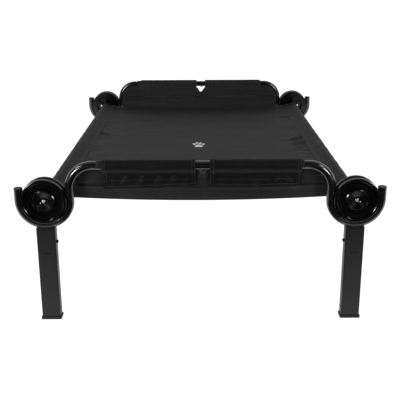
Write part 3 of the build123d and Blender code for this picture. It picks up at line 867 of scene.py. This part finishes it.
class BED_OT_sew_deck(bpy.types.Operator):
    """Lay the deck's ribbed weave between the rails and turn its ends up"""

    bl_idname = "bed.sew_deck"
    bl_label = "Deck"

    def execute(self, context):
        sizes = context.scene.bed_cloth
        ply = sizes.ply
        half_w = DECK_HALF_W + 0.5 * MM
        turned_up = sizes.seam_up + SEAM_LAP
        cloth = self.lay_cloth(ply, half_w, turned_up)
        cloth.lift(self.folds(cloth))
        inside = np.abs((cloth.across[:-1] + cloth.across[1:]) / 2) < PANEL_HALF_W
        middle = (cloth.along[:-1] + cloth.along[1:]) / 2
        keep = inside[:, None] | ((middle > 0) & (middle < 1))[None, :]
        steps = np.linalg.norm(np.diff(cloth.points, axis=1), axis=-1)
        run = np.cumsum(np.pad(steps, ((0, 0), (1, 0))), axis=1)
        run = np.broadcast_to((run - run.mean()).mean(0), run.shape)
        deck = sew("deck_cloth", cloth, "ribbed_polyester_weave", ply / 2, keep=keep, run=run)
        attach(deck, "bed")
        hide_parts("deck_fabric")
        rows = []
        xs = along_line(-PANEL_HALF_W + 4 * MM, PANEL_HALF_W - 4 * MM)
        for end in ENDS.values():
            for back in (2.2 * MM, 5.2 * MM):
                share = 1 - back / turned_up
                t = np.full(xs.shape, -share if end < 0 else 1 + share)
                rows += [row(cloth, xs, t, -ply / 2), row(cloth, xs, t, ply / 2)]
        seams = stitch_rows("deck_seam_thread", rows, sizes.thread, sizes.stitch)
        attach(seams, "bed")
        SEWN["deck"] = cloth
        return {"FINISHED"}

    def lay_cloth(self, ply, half_w, turned_up):
        """The smooth deck. Its rows run from -1 to 0 up the front end, to 1 along the bed, and to 2 up
        the rear end."""
        off = OUT * (ply + 0.15 * MM)
        soft = 5 * MM  # the bend at each end takes up this much of the cloth on each side
        across = lines(-half_w, half_w, 5.5 * MM, -PANEL_HALF_W, PANEL_HALF_W)
        turned = np.linspace(0, 1, 14)
        flat = np.linspace(0, 1, 190)[1:-1]
        bends = np.array((0.2, 0.4, 0.6, 0.8)) * soft / 1.13
        along = np.unique(np.concatenate([turned - 1, flat, turned + 1, bends, 1 - bends]))

        def shape(x, v):
            foot = LEAVE + DOWN * foot_distance(x, ply)[..., None] + off
            foot_y, foot_z = BAR_Y - foot[..., 0], BAR_Z + foot[..., 1]
            flat_y = foot_y * (2 * np.clip(v, 0, 1) - 1)
            rise = np.where(v < 0, -v, np.where(v > 1, v - 1, 0)) * turned_up
            end = np.where(v < 0.5, -1, 1)
            run = np.where(rise > 0, rise, -(foot_y - np.abs(flat_y)))
            u = np.clip((run + soft) / (2 * soft), 0, 1)
            bend_y = end * (foot_y - soft * (1 - u) ** 2 + DOWN[0] * soft * u**2)
            bend_z = foot_z - DOWN[1] * soft * u**2
            bent = (np.abs(run) < soft) & (np.abs(x) <= PANEL_HALF_W + 0.4 * MM)
            y = np.where(bent, bend_y, flat_y + end * DOWN[0] * rise)
            z = np.where(bent, bend_z, foot_z - DOWN[1] * rise)
            return stack(x, y, z)

        return Cloth(across, along, shape, 1.0)

    def folds(self, cloth):
        """Heights of the deck's slow waves, of the small pulls beside the rails, and of its folds."""
        x, y = cloth.points[..., 0], cloth.points[..., 1]
        limit = BAR_Y - 35 * MM
        flat_part = ease(np.abs(y), limit, limit - 40 * MM)
        side_in = DECK_HALF_W - np.abs(x)
        calm = flat_part * ease(side_in, 0, 25 * MM)
        height = calm * (0.9 * MM * ripple(x, y, 260 * MM, 3) + 0.3 * MM * ripple(x, y, 70 * MM, 4))
        pull = ease(side_in, 95 * MM, 10 * MM) * ease(side_in, 0, 7 * MM) * flat_part
        turns = y / (34 * MM) + 0.8 * ripple(x, y, 120 * MM, 5)
        height = height + pull * 0.9 * MM * np.sin(2 * math.pi * turns)
        for (at_x, at_y), slant, reach, wide, tall in DECK_FOLDS:
            centre = (at_x * MM, at_y * MM)
            height = height + flat_part * fold(x, y, centre, slant, reach * MM, wide * MM, tall * MM)
        return height


class BED_OT_sew_sleeves(bpy.types.Operator):
    """Wrap the weave round each side rail and stitch it to the deck"""

    bl_idname = "bed.sew_sleeves"
    bl_label = "Rail sleeves"

    def execute(self, context):
        sizes = context.scene.bed_cloth
        section = self.section(sizes.ply)
        for side_name, side in SIDES.items():
            self.sew_sleeve(sizes, section, side_name, side)
        return {"FINISHED"}

    def section(self, ply):
        """The sleeve's path round the rail, as distance in from the rail's axis and height over it. It
        starts at the raw edge on top of the deck and ends at the one under it."""
        radius = RAIL_R + 0.7 * MM + ply / 2
        lap_in = RAIL_X - DECK_HALF_W + 9 * MM
        meet_in = RAIL_X - DECK_HALF_W - 1 * MM
        rise = DECK_EDGE_Z - RAIL_Z
        lap = np.array((lap_in, rise + ply / 2 + 0.1 * MM))
        join = np.array((meet_in, rise + ply / 2 + 0.5 * MM))
        under_join = np.array((meet_in, rise - 1.8 * MM - ply / 2))
        under_lap = np.array((lap_in, rise - 2.2 * MM - ply / 2))

        def tangent(point, sign):
            return math.atan2(point[1], point[0]) + sign * math.acos(radius / np.linalg.norm(point))

        first, last = tangent(join, 1), 2 * math.pi + tangent(under_join, -1)
        ring = round_way(np.linspace(first, last, 30)) * radius
        upper = [lap + (join - lap) * k for k in (0, 0.35, 0.7)]
        upper += [join + (ring[0] - join) * k for k in np.linspace(0, 0.88, 8)]
        lower = [ring[-1] + (under_join - ring[-1]) * k for k in np.linspace(0.12, 1, 8)]
        lower += [under_join + (under_lap - under_join) * k for k in (0.35, 0.7, 1)]
        return np.array([*upper, *ring, *lower])

    def sew_sleeve(self, sizes, section, side_name, side):
        ply = sizes.ply
        far = lengths_along(section)
        hem_y, hem_rise = SLEEVE_END_Y - SLEEVE_HEM, 0.35 * MM
        places = lines(-SLEEVE_END_Y, SLEEVE_END_Y, 6 * MM, -hem_y, hem_y)

        def shape(y, t):
            inward = np.interp(t, far, section[:, 0])
            up = np.interp(t, far, section[:, 1])
            sag = deck_height(np.maximum(RAIL_X - inward, 0)) - DECK_EDGE_Z
            return stack(side * (RAIL_X - inward), y, RAIL_Z + up + sag)

        cloth = Cloth(places, far, shape, 1.0 if side > 0 else -1.0)
        y, t = cloth.x, cloth.t
        seed = 20 + side
        on_top = ease(t, 10 * MM, 18 * MM) * ease(t, far[-1], far[-1] - 30 * MM)
        turns = 2 * math.pi * (y + side * 0.6 * t) / (23 * MM) + 2 * ripple(y, t, 150 * MM, seed + 7)
        height = on_top * (
            0.55 * MM * ripple(y, t * 2, 46 * MM, seed) + 0.5 * MM * np.maximum(np.sin(turns), 0)
        )
        cloth.lift(np.maximum(height, -0.35 * MM))
        thick = ply / 2 + turn_edge(SLEEVE_END_Y - np.abs(y), SLEEVE_HEM, hem_rise)
        sleeve = sew(f"sleeve_cloth_{side_name}", cloth, "ribbed_polyester_weave", thick, back=ply / 2)
        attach(sleeve, "bed")
        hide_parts(f"deck_sleeve_{side_name}")
        ys = along_line(-SLEEVE_END_Y + 3 * MM, SLEEVE_END_Y - 3 * MM)
        ts = along_line(8 * MM, far[-1] - 8 * MM)
        rows = [row(cloth, ys, t_row, ply / 2) for t_row in (2.4 * MM, 7.4 * MM)]
        rows += [row(cloth, end * (hem_y + 2 * MM), ts, ply / 2 + hem_rise) for end in ENDS.values()]
        seam = stitch_rows(f"sleeve_thread_{side_name}", rows, sizes.thread, sizes.stitch)
        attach(seam, "bed")


def panel_columns(sizes):
    """Grid lines over an end panel's width, close together at its corners, hems and notch."""
    cut = 0.03 * MM  # a cut edge falls between two lines this far to its sides
    corner_x = PANEL_HALF_W - CORNER_R
    rounded = corner_x + CORNER_R * np.sin(np.radians(np.linspace(0, 90, 15)))
    rounded[-1] = PANEL_HALF_W
    hem = sizes.hem_width
    sides = [CAP_HALF_W - cut, CAP_HALF_W + cut]
    sides += [edge - hem + step for edge in (CAP_HALF_W, PANEL_HALF_W) for step in (-HEM_STEP, HEM_STEP)]
    notch = []
    for edge, way in ((NOTCH_X[0], 1), (NOTCH_X[1], -1)):
        notch += [edge - cut * way, edge + cut * way]
        notch += [edge - way * (hem + step) for step in (-HEM_STEP, HEM_STEP)]
        notch += [edge + way * step * MM for step in (0.6, 1.4, 2.6, 4.2, 6.2, 8.5, 11.5, 14.5)]
    pitch, clear = 5 * MM, 0.9 * MM
    plain = np.arange(-CAP_HALF_W + pitch / 2, CAP_HALF_W, pitch)
    fixed = np.array([*rounded, *-rounded, *sides, *[-v for v in sides], *notch])
    plain = plain[np.min(np.abs(plain[:, None] - fixed[None, :]), axis=1) > clear]
    return np.unique(np.round(np.concatenate([fixed, plain]), 7))


class BED_OT_sew_end_panels(bpy.types.Operator):
    """Hang a panel on each end bar, notched in the middle and hemmed round its corners"""

    bl_idname = "bed.sew_end_panels"
    bl_label = "End panels"

    def execute(self, context):
        sizes = context.scene.bed_cloth
        ply = sizes.ply
        for end_name, end in ENDS.items():
            across = panel_columns(sizes)
            cloth = PanelCloth(end, across, np.linspace(0, 1, 54), sizes.seam_up, ply)
            cloth.lift(self.folds(cloth, 40 + end))
            x, s = cloth.x, cloth.s
            thick = ply / 2 + turn_edge(outline_gap(x, s), sizes.hem_width, sizes.hem_rise)
            over = ease(-s, -1 * MM, 3 * MM)
            front = thick * (1 - over) + (ply / 2) * over
            panel = sew(
                f"end_panel_cloth_{end_name}", cloth, "ribbed_polyester_weave", front, back=thick, run=s
            )
            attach(panel, "bed")
            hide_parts(f"end_panel_{end_name}")
            rows = self.stitching(cloth, sizes)
            seam = stitch_rows(f"end_panel_thread_{end_name}", rows, sizes.thread, sizes.stitch)
            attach(seam, "bed")
            tall = OVER_BAR + float(np.max(cloth.low_edge(across)))
            drop = cloth.low_edge(across) - panel_top(across)
        return {"FINISHED"}

    def folds(self, cloth, seed):
        """Heights of a panel's ripples, of the ridges that the tapes behind it press up, and of the V
        that it is pulled into under the notch."""
        x, s = cloth.x, cloth.s
        free = ease(s, 2 * MM, 16 * MM) * ease(cloth.low_edge(x) - s, 0, 12 * MM)
        inside = ease(outline_gap(x, s), 0, 14 * MM)
        top, bottom = STRIP_AT
        ridges = 0
        for at, width, share in (
            (bottom, 2.4 * MM, 1.0), (bottom + 7 * MM, 4 * MM, -0.6), (top, 2.4 * MM, 0.5),
        ):
            ridges = ridges + share * np.exp(-(((s - at) / width) ** 2))
        uneven = 1 + 0.4 * ripple(x, 0 * s, 130 * MM, seed + 5)
        height = free * inside * (
            0.7 * MM * ripple(x, s * 1.6, 95 * MM, seed)
            + 0.35 * MM * ripple(x, s, 34 * MM, seed + 3)
            + 2.0 * MM * ridges * uneven
        )
        middle = sum(NOTCH_X) / 2
        for slant, shift in ((57, -7 * MM), (-57, 7 * MM)):
            centre = (middle + shift, 42 * MM)
            height = height + fold(x, s, centre, slant, 10 * MM, 3.4 * MM, 2.6 * MM)
        return height

    def stitching(self, cloth, sizes):
        """Hem rows down the sides and round the corners, round the notch, and beside the hook tapes."""
        ply, rows = sizes.ply, []
        raised = ply / 2 + sizes.hem_rise
        corner_x, corner_s = PANEL_HALF_W - CORNER_R, at_height(SHOULDER_Z) + CORNER_R
        side_end = float(cloth.low_edge(np.array([PANEL_HALF_W]))[0]) - 2 * MM
        tail = np.linspace(corner_s, side_end, 20)[1:]
        turn = np.radians(np.linspace(8, 90, 60))
        for side in SIDES.values():
            for inset in (2.5 * MM, 8.5 * MM):
                xs = corner_x + (CORNER_R - inset) * np.sin(turn)
                ss = corner_s - (CORNER_R - inset) * np.cos(turn)
                xs = side * np.concatenate([xs, np.full(tail.shape, xs[-1])])
                ss = np.concatenate([ss, tail])
                for off in (raised, -raised):
                    rows.append(row(cloth, xs, cloth.share_of(xs, ss), off))
        for edge, way in ((NOTCH_X[0], -1), (NOTCH_X[1], 1)):
            ss = along_line(-OVER_BAR + 8 * MM, at_height(NOTCH_TOP_Z - NOTCH_DEPTH) + 6 * MM)
            xs = np.full(ss.shape, edge + way * 3 * MM)
            rows.append(row(cloth, xs, cloth.share_of(xs, ss), -raised))
        for low, high in FLAP_SPANS.values():
            xs = along_line(low + STRIP_INSET + 2 * MM, high - STRIP_INSET - 2 * MM)
            for s_row in (STRIP_AT[0] + 1.6 * MM, STRIP_AT[1] - 1.6 * MM):
                rows.append(row(cloth, xs, cloth.share_of(xs, s_row), -ply / 2))
        return rows


class BED_OT_sew_flaps(bpy.types.Operator):
    """Roll the four flaps over the end bars and let them hang, with double-stitched hems"""

    bl_idname = "bed.sew_flaps"
    bl_label = "Flaps"

    def execute(self, context):
        sizes = context.scene.bed_cloth
        for end_name, end in ENDS.items():
            for side_name in SIDES:
                self.sew_flap(sizes, end_name, end, side_name)
        return {"FINISHED"}

    def sew_flap(self, sizes, end_name, end, side_name):
        ply, hem = sizes.ply, sizes.hem_width
        name = f"{end_name}_{side_name}"
        low, high = FLAP_SPANS[side_name]
        drop = FLAP_DROP[side_name]
        cloth = self.hang_cloth(end, low, high, hem, drop)
        x, t = cloth.x, cloth.t
        side_gap = np.minimum(x - low, high - x)
        cloth.lift(self.folds(x, t, end, side_name, sizes.wrinkle))
        low_rise = 0.8 * sizes.hem_rise
        low_hem = turn_edge(FLAP_LENGTH - t, LOW_HEM, low_rise)
        rise = np.maximum(turn_edge(side_gap, hem, sizes.hem_rise), low_hem)
        piece = sew(
            f"flap_cloth_{name}", cloth, "plain_weave_polyester_canvas", ply / 2 + rise,
            back=ply / 2 + rise * 0.3,
        )
        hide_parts(f"flap_{name}")
        rows = []
        ts = along_line(3 * MM, FLAP_LENGTH - 2.5 * MM)
        for edge, way in ((low, 1), (high, -1)):
            for inset in (2.3 * MM, 8.7 * MM):
                rows.append(row(cloth, edge + way * inset, ts, ply / 2 + sizes.hem_rise))
        xs = along_line(low + 3 * MM, high - 3 * MM)
        rows.append(row(cloth, xs, 1.8 * MM, ply / 2))
        rows.append(row(cloth, xs, FLAP_LENGTH - 6.2 * MM, ply / 2 + low_rise))
        inner = along_line(low + STRIP_INSET + 2 * MM, high - STRIP_INSET - 2 * MM)
        rows.append(row(cloth, inner, FLAP_LENGTH - 4.6 * MM, ply / 2 + low_rise))
        rows.append(row(cloth, inner, FLAP_LENGTH - 21.4 * MM, ply / 2))
        seam = stitch_rows(f"flap_thread_{name}", rows, sizes.thread, sizes.stitch)
        top, bottom = (0, end * BAR_Y, BAR_Z + FLAP_R), (0, end * BAR_Y, BAR_Z - 18 * MM)
        for made in (piece, seam):
            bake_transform(made)
            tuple(top)
            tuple(bottom)

    def hang_cloth(self, end, low, high, hem, drop):
        """The smooth flap, rolled over the bar. Past its crease it is a little longer in places."""
        hang = FLAP_LENGTH - FLAP_CREASE

        def shape(x, t):
            share = (x - low) / (high - low)
            extra = np.interp(share, (0, 0.5, 1), np.array(drop) * MM)
            extra = extra + 0.7 * MM * ripple(x, 0 * x, 90 * MM, 60 + end)
            far = t + np.maximum(t - FLAP_CREASE, 0) / hang * extra
            past = np.maximum(far - FLAP_LENGTH, 0)
            inward = np.interp(far, FLAP_FAR, FLAP_PATH[:, 0]) + DOWN[0] * past
            up = np.interp(far, FLAP_FAR, FLAP_PATH[:, 1]) + DOWN[1] * past
            return from_bar(end, x, inward, up)

        across = lines(low, high, 3 * MM, low + hem, high - hem)
        along = lines(0, FLAP_LENGTH, 2.2 * MM, FLAP_LENGTH - LOW_HEM)
        return Cloth(across, along, shape, end)

    def folds(self, x, t, end, side_name, wrinkle):
        """Heights of the ripples in a flap's roll and hanging part, and of its pulled wrinkles."""
        low, high = FLAP_SPANS[side_name]
        seed = 70 + 3 * end + (1 if side_name == "left" else 2)
        soft = ease(np.minimum(x - low, high - x), 2 * MM, 16 * MM)
        roll = ease(t, 2 * MM, 12 * MM) * ease(t, FLAP_CREASE, FLAP_CREASE - 10 * MM)
        hanging = ease(t, FLAP_CREASE + 1 * MM, FLAP_CREASE + 9 * MM)
        slow, quick = ripple(x, 2 * t, 80 * MM, seed), ripple(x, 3 * t, 34 * MM, seed + 11)
        height = roll * (0.5 * MM + 0.9 * MM * soft * slow + 0.35 * MM * quick)
        height = np.maximum(height, -0.15 * MM * roll)
        height = height + hanging * (0.7 * MM * ripple(x, t, 60 * MM, seed + 5) + 0.5 * MM)
        for place, depth, slant, reach, wide, tall in FLAP_FOLDS[side_name]:
            # The rear flaps are the front ones turned round, as seen from outside the bed.
            at_x = low + (place if end < 0 else 1 - place) * (high - low)
            centre = (at_x, FLAP_CREASE + depth * (FLAP_LENGTH - FLAP_CREASE))
            height = height + hanging * soft * fold(
                x, t, centre, end * slant, reach * MM, wide * MM, tall * wrinkle
            )
        return height


# A tuft of tape, as places along its lean and heights, in shares of its height. Hooks curl over, and
# loops come back down.
TUFTS = {
    "hook": {
        "face": 1, "pitch": 2.6 * MM, "tall": 0.5 * MM,
        "spine": ((0, 0), (0.05, 0.6), (0.45, 1.0), (0.85, 0.75)),
    },
    "loop": {
        "face": -1, "pitch": 2.1 * MM, "tall": 0.42 * MM,
        "spine": ((-0.8, 0), (-0.6, 0.8), (0.5, 1.0), (0.8, 0.0)),
    },
}
TAPE_THICK = 0.5 * MM


def tape_strip(name, end, low, high, off, kind):
    """A length of hook or loop tape lying along the slope, with its tufts as small shapes on its face."""
    tuft = TUFTS[kind]
    face, pitch, tall = tuft["face"], tuft["pitch"], tuft["tall"]
    top, bottom = STRIP_AT

    def shape(x, s):
        place = LEAVE + DOWN * s[..., None] + OUT * off
        return from_bar(end, x, place[..., 0], place[..., 1])

    across = lines(low, high, 3 * MM, low + 1 * MM, high - 1 * MM)
    along = lines(top, bottom, 2 * MM, top + 1 * MM, bottom - 1 * MM)
    ground = sew(name, Cloth(across, along, shape, end), f"nylon_{kind}_tape", TAPE_THICK / 2)
    draw = np.random.default_rng(90 + end + face)
    half_thread, lean_reach, jitter = 0.16 * MM, 1.6 * tall, 0.3
    foot = off + face * (TAPE_THICK / 2 - 0.05 * MM)
    points, faces = [], []
    for x in np.arange(low + 2.2 * MM, high - 2 * MM, pitch):
        for s in np.arange(top + 2 * MM, bottom - 1.8 * MM, pitch):
            tuft_x = x + draw.uniform(-jitter, jitter) * MM
            tuft_s = s + draw.uniform(-jitter, jitter) * MM
            lean = draw.uniform(0, 2 * math.pi)
            way = (math.cos(lean), math.sin(lean))
            base = len(points)
            for shift, up in tuft["spine"]:
                for side in (-1, 1):
                    dx = way[0] * shift * lean_reach - way[1] * side * half_thread
                    ds = way[1] * shift * lean_reach + way[0] * side * half_thread
                    place = LEAVE + DOWN * (tuft_s + ds) + OUT * (foot + face * up * tall)
                    points.append((tuft_x + dx, end * (BAR_Y - place[0]), BAR_Z + place[1]))
            for a in range(base, base + 6, 2):
                faces.append((a, a + 1, a + 3, a + 2))
    pile = make_object(f"{name}_pile", points, faces, f"nylon_{kind}_tape")
    thicken = pile.modifiers.new("thread thickness", "SOLIDIFY")
    thicken.thickness = 0.12 * MM
    return ground, pile


class BED_OT_sew_tapes(bpy.types.Operator):
    """Lay the hook tapes on the end panels and the loop tapes inside the flaps"""

    bl_idname = "bed.sew_tapes"
    bl_label = "Hook and loop tapes"

    def execute(self, context):
        hook_off, loop_off = 1.25 * MM, FLAP_OFF - 1.45 * MM
        for end_name, end in ENDS.items():
            for side_name, (low, high) in FLAP_SPANS.items():
                low, high = low + STRIP_INSET, high - STRIP_INSET
                name = f"{end_name}_{side_name}"
                hook, hook_pile = tape_strip(f"hook_tape_{name}", end, low, high, hook_off, "hook")
                loop, loop_pile = tape_strip(f"loop_tape_strip_{name}", end, low, high, loop_off, "loop")
                for made in (hook, hook_pile):
                    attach(made, "bed")
                for made in (loop, loop_pile):
                    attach(made, f"flap_{name}")
                if name == "front_left":
                    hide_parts("hook_tapes")  # one solid node holds all four hook tapes
                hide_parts(f"loop_tape_{name}")
        return {"FINISHED"}


# The paw's pads: middle and half sizes in millimetres, and lean in degrees.
PAW_PADS = (
    ((0, -14), (13, 16), 0),
    ((-15.5, 8), (5, 11), 14),
    ((-5.8, 21), (5, 12), 5),
    ((5.8, 21), (5, 12), -5),
    ((15.5, 8), (5, 11), -14),
)


class BED_OT_print_paw(bpy.types.Operator):
    """Print a small generic paw mark in the middle of the deck"""

    bl_idname = "bed.print_paw"
    bl_label = "Paw print"

    def execute(self, context):
        if "deck" not in SEWN:
            raise RuntimeError("The deck has to be sewn before it is printed on")
        cloth = SEWN["deck"]
        over = context.scene.bed_cloth.ply / 2 + 0.12 * MM
        middle_x, middle_y = -3.0 * MM, -16.0 * MM
        around = 24
        points, faces = [], []
        ys = cloth.points[len(cloth.across) // 2, :, 1]
        for (pad_x, pad_y), (wide, tall), lean in PAW_PADS:
            cos, sin = math.cos(math.radians(lean)), math.sin(math.radians(lean))
            heart = 0.16 if wide > 10 else 0.0  # the big pad is pinched into three lobes
            base = len(points)
            for share, count in ((0.0, 1), (0.5, around), (1.0, around)):
                for k in range(count):
                    a = 2 * math.pi * k / count
                    pinch = 1 + heart * math.cos(3 * a + math.pi / 2)
                    dx, dy = wide * share * math.cos(a) * pinch, tall * share * math.sin(a) * pinch
                    x = middle_x + (pad_x + dx * cos - dy * sin) * MM
                    y = middle_y + (pad_y + dx * sin + dy * cos) * MM
                    t = np.interp(y, ys, cloth.along)
                    points.append(cloth.at(np.array(x), np.array(t), np.array(over)))
            inner, outer = base + 1, base + 1 + around
            for k in range(around):
                after = (k + 1) % around
                faces.append((base, inner + k, inner + after))
                faces.append((inner + k, outer + k, outer + after, inner + after))
        paw = make_object("paw_print", points, faces, "screen_print_ink")
        film = paw.modifiers.new("ink film", "SOLIDIFY")
        film.thickness = 0.15 * MM
        film.offset = -1.0
        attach(paw, "bed")
        return {"FINISHED"}


class BED_OT_set_stage(bpy.types.Operator):
    """Set the camera, the pale floor and the soft studio light"""

    bl_idname = "bed.set_stage"
    bl_label = "Stage and light"

    def execute(self, context):
        stage = context.scene.bed_stage
        self.stand_camera(context, stage)
        self.lay_floor(context, stage)
        self.light_room(context)
        context.scene.view_settings.view_transform = "Standard"
        return {"FINISHED"}

    def stand_camera(self, context, stage):
        lens = bpy.data.cameras.new("camera")
        lens.sensor_width = 36.0
        lens.lens = stage.lens
        lens.shift_y = -0.1  # the bed stands a little above the middle of the frame
        lens.clip_end = 200.0
        camera = bpy.data.objects.new("camera", lens)
        context.scene.collection.objects.link(camera)
        yaw, pitch, roll = stage.yaw, stage.pitch, stage.roll
        level = Vector((math.cos(yaw), -math.sin(yaw), 0))
        flat_ahead = Vector((math.sin(yaw), math.cos(yaw), 0))
        ahead = flat_ahead * math.cos(pitch) - Vector((0, 0, math.sin(pitch)))
        upright = level.cross(ahead)
        right = level * math.cos(roll) + upright * math.sin(roll)
        top = upright * math.cos(roll) - level * math.sin(roll)
        stand = Vector((-3.2 * MM, -stage.camera_back, stage.camera_up))
        turn = Matrix((right, top, -ahead)).transposed().to_4x4()
        camera.matrix_world = Matrix.Translation(stand) @ turn
        context.scene.camera = camera

    def lay_floor(self, context, stage):
        mesh = bpy.data.meshes.new("studio_floor")
        reach, count = 60.0, 13
        spots = np.linspace(-reach, reach, count)
        points = [(x, y, 0.0) for x in spots for y in spots]
        corners = [i * count + j for i in range(count - 1) for j in range(count - 1)]
        faces = [(a, a + count, a + count + 1, a + 1) for a in corners]
        mesh.from_pydata(points, [], faces)
        mesh.materials.append(painted_floor(stage))
        floor = bpy.data.objects.new("studio_floor", mesh)
        context.scene.collection.objects.link(floor)
        self.lay_card(context)

    def lay_card(self, context):
        """Lay a black card over the floor in front, out of sight, that keeps the near faces dark. A
        tongue of it reaches in between the near legs."""
        mesh = bpy.data.meshes.new("black_card")
        wide, near, far = 5.0, -7.0, -0.95
        tongue, tip = 0.32, -0.64
        outline = [
            (-wide, near), (wide, near), (wide, far), (tongue, far),
            (tongue, tip), (-tongue, tip), (-tongue, far), (-wide, far),
        ]
        over_floor = 20 * MM
        mesh.from_pydata([(x, y, over_floor) for x, y in outline], [], [tuple(range(len(outline)))])
        black, _, _ = new_material(
            "black_velvet_card", {"Base Color": (0.004, 0.004, 0.004, 1.0), "Roughness": 1.0}
        )
        mesh.materials.append(black)
        card = bpy.data.objects.new("black_card", mesh)
        card.visible_camera = False
        context.scene.collection.objects.link(card)

    def light_room(self, context):
        room = bpy.data.worlds.new("studio")
        room.use_nodes = True
        tree = room.node_tree
        tree.nodes.clear()
        way = add_node(tree, "ShaderNodeTexCoord").outputs["Generated"]
        parts = add_node(tree, "ShaderNodeSeparateXYZ", {"Vector": way})
        # The wall at the back is light, the one in front dark, and the ceiling dim.
        wall = add_node(
            tree, "ShaderNodeMapRange",
            {
                "Value": parts.outputs["Y"],
                "From Min": -0.75, "From Max": 0.9, "To Min": 0.02, "To Max": 0.7,
            },
            interpolation_type="SMOOTHSTEP",
        )
        ceiling = add_node(
            tree, "ShaderNodeMapRange",
            {
                "Value": parts.outputs["Z"],
                "From Min": 0.6, "From Max": 0.95, "To Min": 0.0, "To Max": 0.2,
            },
            interpolation_type="SMOOTHSTEP",
        )
        bright = add_node(
            tree, "ShaderNodeMath", {0: wall.outputs[0], 1: ceiling.outputs[0]}, operation="MAXIMUM"
        )
        seen = add_node(tree, "ShaderNodeLightPath").outputs["Is Camera Ray"]
        strength = add_node(
            tree, "ShaderNodeMix", {"Factor": seen, 2: bright.outputs[0], 3: 1.0}, data_type="FLOAT"
        )
        glow = add_node(
            tree, "ShaderNodeBackground", {"Color": (1, 1, 1, 1), "Strength": strength.outputs[0]}
        )
        add_node(tree, "ShaderNodeOutputWorld", {"Surface": glow.outputs[0]})
        context.scene.world = room
        # Soft boxes on the left and right, low in front and high beside: (name, place, size, watts).
        for name, place, size, watts in (
            ("softbox_left", (-1.6, -2.1, 0.8), (0.4, 0.6), 28),
            ("softbox_right", (1.6, -2.1, 0.8), (0.4, 0.6), 20),
            ("high_left", (-2.0, -1.3, 2.0), (0.9, 0.4), 11),
            ("high_right", (2.0, -1.3, 2.0), (0.9, 0.4), 8),
        ):
            light = bpy.data.lights.new(name, "AREA")
            light.shape = "RECTANGLE"
            light.size, light.size_y = size
            light.energy = watts
            lamp = bpy.data.objects.new(name, light)
            lamp.location = place
            lamp.visible_camera = False
            aim = Vector((0, 0, 0.3)) - Vector(place)
            lamp.rotation_euler = aim.to_track_quat("-Z", "Y").to_euler()
            context.scene.collection.objects.link(lamp)


# ---- panel and registration ------------------------------------------------------------------

STEPS = (
    BED_OT_finish_hardware,
    BED_OT_sew_deck,
    BED_OT_sew_sleeves,
    BED_OT_sew_end_panels,
    BED_OT_sew_flaps,
    BED_OT_sew_tapes,
    BED_OT_print_paw,
    BED_OT_set_stage,
)


class BED_PT_maker(bpy.types.Panel):
    """Settings and steps of the dog bed"""

    bl_idname = "BED_PT_maker"
    bl_label = "Raised dog bed"
    bl_space_type = "VIEW_3D"
    bl_region_type = "UI"
    bl_category = "Dog bed"

    def draw(self, context):
        scene = context.scene
        for title, group in (
            ("Cloth", scene.bed_cloth), ("Colours", scene.bed_colours), ("Stage", scene.bed_stage),
        ):
            box = self.layout.box()
            box.label(text=title)
            for name in group.__annotations__:
                box.prop(group, name)
        for step in STEPS:
            self.layout.operator(step.bl_idname)


GROUPS = {"bed_cloth": BedClothSettings, "bed_colours": BedColourSettings, "bed_stage": BedStageSettings}
CLASSES = (*GROUPS.values(), *STEPS, BED_PT_maker)


def register():
    for cls in CLASSES:
        bpy.utils.register_class(cls)
    for name, group in GROUPS.items():
        setattr(bpy.types.Scene, name, bpy.props.PointerProperty(type=group))


def unregister():
    for name in GROUPS:
        delattr(bpy.types.Scene, name)
    for cls in reversed(CLASSES):
        bpy.utils.unregister_class(cls)


def main():
    register()
    for step in STEPS:
        group, _, name = step.bl_idname.partition(".")
        getattr(getattr(bpy.ops, group), name)()
    bpy.context.view_layer.update()


if __name__ == "__main__":
    main()
